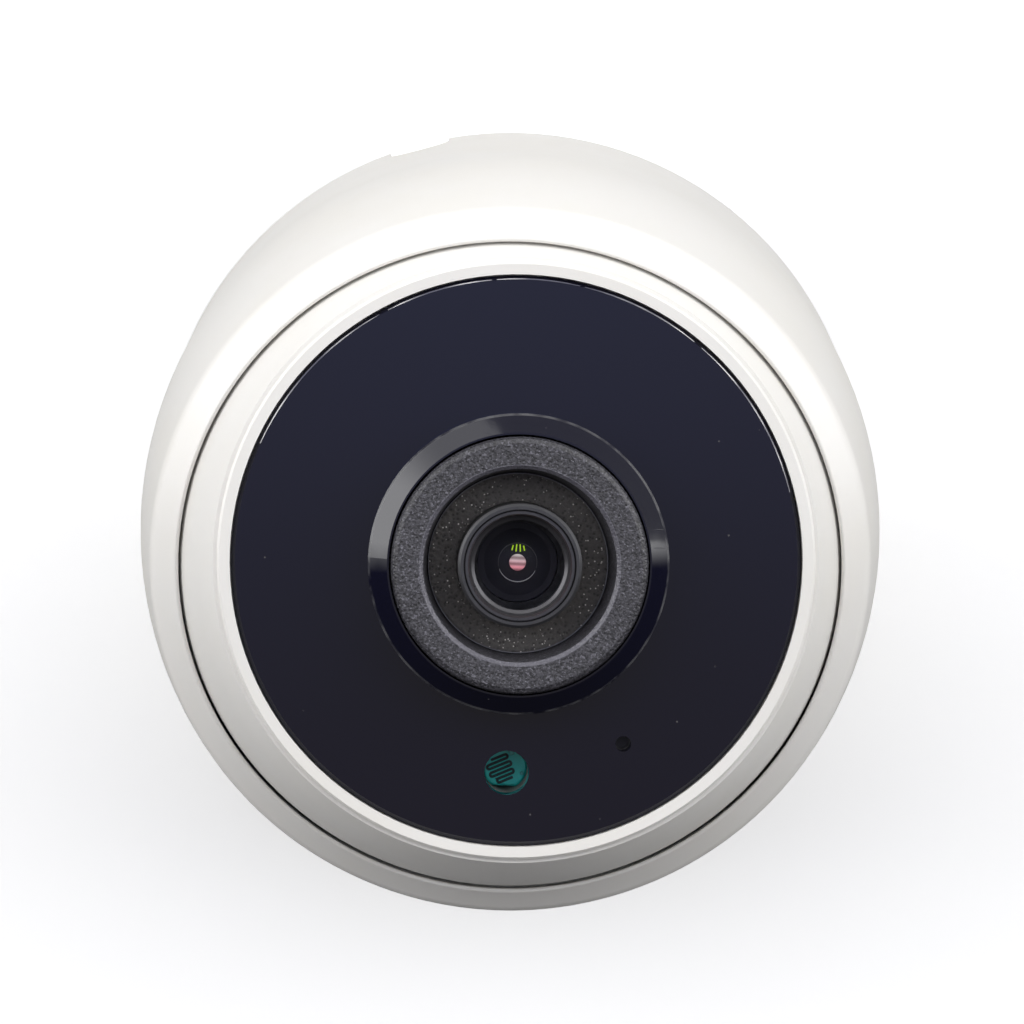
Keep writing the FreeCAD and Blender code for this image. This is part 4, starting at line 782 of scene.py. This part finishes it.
class DOMECAM_OT_lens(bpy.types.Operator):
    """Gives the lens its anodised metal and coated glass, and makes the painted glints of the
    stop's edge, its pupil and the coating, which glow
    """

    bl_idname = "domecam.lens"
    bl_label = "Lens"

    def execute(self, context):
        settings = context.scene.dome_camera
        cast(
            (anodised_finish("anodised_barrel", (0.040, 0.040, 0.044), 0.40), ("lens_barrel",)),
            (anodised_finish("polished_retainer", (0.046, 0.045, 0.050), 0.30),
             ("lens_retainer",)),
            (glass_finish("front_element", (0.004, 0.004, 0.006), 0.12, coat=0.0, bend=1.18),
             ("front_glass",)),
            (glass_finish("rear_element", (0.02, 0.018, 0.03), 0.35), ("rear_glass",)),
            (dark_glass_finish("inner_element"), ("inner_glass",)),
        )
        points = spread_in_ball("inner_glass")
        crown = max(p[1] for p in points)
        front = min(p[1] for p in spread_in_ball("front_glass"))
        level = crown + (front - crown) * 0.45

        def button(shape):
            """A low dome on the lens axis."""
            outline = [(settings.pupil_size / 2 * math.sin(math.radians(a)),
                        level + 0.00022 * math.cos(math.radians(a))) for a in range(2, 91, 8)]
            outline += [(settings.pupil_size / 2, level - 0.0001), (0.00002, level - 0.0001)]
            lathe(shape, outline, 64, BALL_FRAME)

        def streaks(shape):
            """Four short slivers above the pupil, fanned a little."""
            for k, tall in enumerate(SLIVER_HEIGHTS):
                x = (k - 1.5) * SLIVER_PITCH
                lean = Matrix.Rotation(math.radians(-9 * (k - 1.5)), 4, "Z")
                spot = BALL_FRAME @ Matrix.Translation((x, -0.00165, level)) @ lean
                slab(shape, spot, (-SLIVER_HALF_WIDTH, -tall, 0.0),
                     (SLIVER_HALF_WIDTH, tall, 0.00008))

        # Painted highlight: a glowing arc at the stop's edge, bright on one side and faint on the
        # rest.
        new_piece("stop_edge", bead(STOP_RADIUS, 0.00005, level, (22, 158)), glint_finish(
            "stop_glint", (0.42, 0.42, 0.46), 0.30), "ball")
        new_piece("stop_edge_faint", bead(STOP_RADIUS, 0.00004, level, (165, 375)), glint_finish(
            "stop_glint_faint", (0.10, 0.10, 0.12), 0.12), "ball")
        # Painted reflection: the pupil is a glowing pink-white dome crossed by darker bars.
        new_piece("pupil", button, glint_finish(
            "pupil_glint", (0.80, 0.70, 0.72), 0.62, (0.95, 0.34, 0.42)), "ball")
        # Painted glints: four glowing yellow-green slivers above the pupil.
        new_piece("coating_glint_slivers", streaks, glint_finish(
            "coating_glint", (0.50, 0.78, 0.03), 0.80), "ball", smooth=False)
        return {"FINISHED"}


class DOMECAM_OT_light_cell(bpy.types.Operator):
    """Makes the photoresistor: a flat-sided disc, its two pads, and a track that winds across"""

    bl_idname = "domecam.light_cell"
    bl_label = "Light cell"

    def execute(self, context):
        settings = context.scene.dome_camera
        middle, low = middle_in_ball("light_cell")
        points = spread_in_ball("light_cell")
        half_width = (max(p[2] for p in points) - min(p[2] for p in points)) / 2
        half_length = (max(p[3] for p in points) - min(p[3] for p in points)) / 2
        wide = half_width >= half_length
        radius, flat = max(half_width, half_length), min(half_width, half_length)
        top = middle.z - 0.00012
        place = BALL_FRAME @ Matrix.Translation(Vector((middle.x, middle.y, 0)))
        if wide:
            place = place @ Matrix.Rotation(math.pi / 2, 4, "Z")
        lean = place @ Matrix.Rotation(settings.track_lean, 4, "Z")

        def disc(shape):
            steps, bevel = 96, 0.00022
            levels = [(0.0, low), (bevel, top), (0.0, top - bevel)]
            rings = []
            for inset, height in (levels[0], levels[2], levels[1]):
                ring = []
                for k in range(steps):
                    turn = 2 * math.pi * k / steps
                    r = radius - inset
                    x = max(-flat + inset, min(flat - inset, r * math.cos(turn)))
                    ring.append(shape.verts.new(place @ Vector((x, r * math.sin(turn), height))))
                rings.append(ring)
            for one, two in zip(rings, rings[1:]):
                for k in range(steps):
                    i = (k + 1) % steps
                    shape.faces.new((one[k], one[i], two[i], two[k]))
            shape.faces.new(rings[-1])
            shape.faces.new(list(reversed(rings[0])))
            bmesh.ops.remove_doubles(shape, verts=shape.verts, dist=1e-6)

        def run():
            """The track's middle line: straight legs joined by half circles, as (x, y)."""
            rows = settings.track_rows
            pitch = radius * 1.10 / (rows - 1)
            bend = pitch / 2
            spots = []
            for row in range(rows):
                x = (row - (rows - 1) / 2) * pitch
                reach = math.sqrt(max(radius ** 2 * 0.62 - x * x, 0.0)) - bend
                low_y, high_y = -reach * 0.35, reach
                ends = (low_y, high_y) if row % 2 == 0 else (high_y, low_y)
                spots += [(x, ends[0] + (ends[1] - ends[0]) * k / 4) for k in range(5)]
                if row < rows - 1:
                    side = 1 if row % 2 == 0 else -1
                    spots += [(x + bend - bend * math.cos(math.radians(a)),
                               ends[1] + side * bend * math.sin(math.radians(a)))
                              for a in range(30, 180, 30)]
            return spots

        def track(shape):
            """A flat raised ribbon along the run."""
            spots = run()
            half, height = settings.track_width / 2, top + 0.00007
            rows = []
            for k, (x, y) in enumerate(spots):
                before, after = spots[max(k - 1, 0)], spots[min(k + 1, len(spots) - 1)]
                way = Vector((after[0] - before[0], after[1] - before[1])).normalized()
                side = Vector((-way.y, way.x)) * half
                rows.append([shape.verts.new(lean @ Vector((x + side.x * a, y + side.y * a, z)))
                             for a, z in ((-1, top - 0.00002), (-0.8, height),
                                          (0.8, height), (1, top - 0.00002))])
            for one, two in zip(rows, rows[1:]):
                for m in range(4):
                    n = (m + 1) % 4
                    shape.faces.new((one[m], two[m], two[n], one[n]))
            shape.faces.new(rows[-1])
            shape.faces.new(list(reversed(rows[0])))

        def pads(shape):
            """The two lead ends, and the square land beside the track."""
            for x, y, half in ((-0.55, -0.60, 0.00020), (0.52, -0.52, 0.00030)):
                slab(shape, lean, (radius * x - half, radius * y - half, top - 0.00003),
                     (radius * x + half, radius * y + half, top + 0.00006))

        new_piece("cell_body", disc, cell_finish(settings), "ball",
                  ("light_cell",))
        new_piece("cell_track", track, track_finish(), "ball", smooth=False)
        new_piece("cell_pads", pads, metal_finish("cell_pad_tin", (0.10, 0.36, 0.33), 0.35),
                  "ball", smooth=False)
        return {"FINISHED"}


def slab(shape, matrix, low, high):
    """A small block with its top edges broken."""
    inset = min(high[0] - low[0], high[1] - low[1]) * 0.12
    levels = [(0.0, low[2]), (0.0, high[2] - inset), (inset, high[2])]
    rings = []
    for cut, z in levels:
        corners = [(low[0] + cut, low[1] + cut), (high[0] - cut, low[1] + cut),
                   (high[0] - cut, high[1] - cut), (low[0] + cut, high[1] - cut)]
        rings.append([shape.verts.new(matrix @ Vector((x, y, z))) for x, y in corners])
    for one, two in zip(rings, rings[1:]):
        for k in range(4):
            shape.faces.new((one[k], one[(k + 1) % 4], two[(k + 1) % 4], two[k]))
    shape.faces.new(rings[-1])
    shape.faces.new(list(reversed(rings[0])))


class DOMECAM_OT_inside(bpy.types.Operator):
    """Gives the boards, lamps, filter, holder and heat sink inside the ball their finishes"""

    bl_idname = "domecam.inside"
    bl_label = "Inside"

    def execute(self, context):
        settings = context.scene.dome_camera
        black = moulded_finish("black_holder", (0.020, 0.020, 0.021), 0.46)
        steel = metal_finish("zinc_screw", (0.56, 0.56, 0.55), 0.30)
        cast(
            (black, ("filter_tray", "lens_holder", "filter_carriage")),
            (steel, ("shell_screws", "holder_screws", "board_screws", "lamp_board_screws")),
            (metal_finish("nickel_magnet", (0.60, 0.59, 0.56), 0.18), ("carriage_magnet",)),
            (metal_finish("copper_coil", (0.62, 0.27, 0.13), 0.30, (30.0, 1.0, 1.0)),
             ("filter_coil",)),
            (metal_finish("turned_brass", (0.70, 0.53, 0.24), 0.24), ("standoffs",)),
            (metal_finish("extruded_sink", (0.58, 0.59, 0.60), 0.38, (1.0, 16.0, 1.0)),
             ("heat_sink",)),
            (board_finish(), ("main_board", "lamp_board")),
            (moulded_finish("lamp_package", (0.72, 0.71, 0.67), 0.40), ("lamp_bases",)),
            (glass_finish("lamp_lens", (0.86, 0.88, 0.90), 0.30), ("lamp_domes",)),
            (moulded_finish("sensor_package", (0.045, 0.040, 0.055), 0.35), ("image_sensor",)),
            (moulded_finish("chip_epoxy", (0.018, 0.018, 0.019), 0.52, 2600.0, 0.00007),
             ("processor",)),
            (soft_finish("gap_pad", (0.24, 0.29, 0.38), 1600.0, 0.75, 0.00008),
             ("thermal_pad",)),
            (moulded_finish("nylon_socket", (0.66, 0.61, 0.49), 0.45), ("board_socket",)),
        )
        return {"FINISHED"}


class DOMECAM_OT_stage(bpy.types.Operator):
    """Sets the floor, the soft lights and the camera"""

    bl_idname = "domecam.stage"
    bl_label = "Stage"

    def execute(self, context):
        scene = context.scene
        stage = scene.dome_stage
        self.floor(scene)
        self.lights(scene, stage)
        camera = bpy.data.objects.new("camera", bpy.data.cameras.new("camera"))
        camera.data.lens = stage.lens
        camera.data.sensor_width = 36.0
        camera.data.clip_start = 0.01
        camera.location = stage.eye
        camera.rotation_euler = stage.turn
        scene.collection.objects.link(camera)
        scene.camera = camera
        scene.view_settings.view_transform = "Standard"
        return {"FINISHED"}

    def floor(self, scene):
        shape = bmesh.new()
        steps, size = 24, 1.6
        bmesh.ops.create_grid(shape, x_segments=steps, y_segments=steps, size=size)
        mesh = bpy.data.meshes.new("floor")
        shape.to_mesh(mesh)
        shape.free()
        mesh.materials.append(floor_finish(scene.dome_camera))
        floor = bpy.data.objects.new("floor", mesh)
        scene.collection.objects.link(floor)

    def lights(self, scene, stage):
        """A wide soft surround, open on three sides and darker on the fourth, and a key light."""
        world = bpy.data.worlds.new("studio")
        sky = Nodes(world, "ShaderNodeOutputWorld")
        way = sky.add("ShaderNodeTexCoord").socket("Generated")
        front, up = sky.dot(way, stage.front), sky.dot(way, (0, 0, 1))
        windows = 1.0 - front.fade(0.50, 0.85)
        height = 1.6 - up.fade(0.15, 0.55) * 0.6 - up.fade(0.50, 0.80) * 0.5
        ring = front.fade(-0.10, 0.14) * (stage.surround + windows * stage.windows) * height
        low = ring + stage.fill
        tent = front.fade(-0.02, 0.30)
        overhead = sky.blend(tent, stage.tent_dark, stage.tent_bright)
        level = sky.add("ShaderNodeCombineColor", None,
                        {"Red": low, "Green": low, "Blue": low}).socket("Color")
        lit = sky.blend(up.fade(0.80, 0.95), level, overhead)
        seen = sky.add("ShaderNodeLightPath").value("Is Camera Ray")
        colour = sky.blend(seen, lit, (1.0, 1.0, 1.0))
        back = sky.add("ShaderNodeBackground", None, {"Color": colour, "Strength": 1.0})
        sky.tree.links.new(back.socket("Background"), sky.output.inputs["Surface"])
        scene.world = world
        self.soft_light(scene, "key", (0.0, -0.45, 1.10), (0.7, 0.5), stage.key)

    def soft_light(self, scene, name, place, size, power):
        data = bpy.data.lights.new(name, "AREA")
        data.shape = "RECTANGLE"
        data.size, data.size_y = size
        data.energy = power
        light = bpy.data.objects.new(name, data)
        light.location = place
        aim = CENTRE - Vector(place)
        light.rotation_euler = aim.to_track_quat("-Z", "Y").to_euler()
        light.visible_glossy = False
        scene.collection.objects.link(light)


class DOMECAM_PT_panel(bpy.types.Panel):
    """Lists what can be made, and the settings"""

    bl_idname = "DOMECAM_PT_panel"
    bl_label = "Dome Camera"
    bl_space_type = "VIEW_3D"
    bl_region_type = "UI"
    bl_category = "Dome Camera"

    def draw(self, context):
        for operator in OPERATORS:
            self.layout.operator(operator.bl_idname)
        for settings in (context.scene.dome_camera, context.scene.dome_stage):
            for name in settings.__annotations__:
                self.layout.prop(settings, name)


OPERATORS = (
    DOMECAM_OT_stage,
    DOMECAM_OT_shells,
    DOMECAM_OT_face,
    DOMECAM_OT_foam,
    DOMECAM_OT_lens,
    DOMECAM_OT_light_cell,
    DOMECAM_OT_inside,
)
CLASSES = (DomeCameraSettings, StageSettings, *OPERATORS, DOMECAM_PT_panel)


def register():
    for kind in CLASSES:
        bpy.utils.register_class(kind)
    bpy.types.Scene.dome_camera = PointerProperty(type=DomeCameraSettings)
    bpy.types.Scene.dome_stage = PointerProperty(type=StageSettings)


def unregister():
    del bpy.types.Scene.dome_stage
    del bpy.types.Scene.dome_camera
    for kind in reversed(CLASSES):
        bpy.utils.unregister_class(kind)


def main():
    random.seed(7)
    register()
    for operator in OPERATORS:
        group, name = operator.bl_idname.split(".")
        getattr(getattr(bpy.ops, group), name)()


if __name__ == "__main__":
    main()
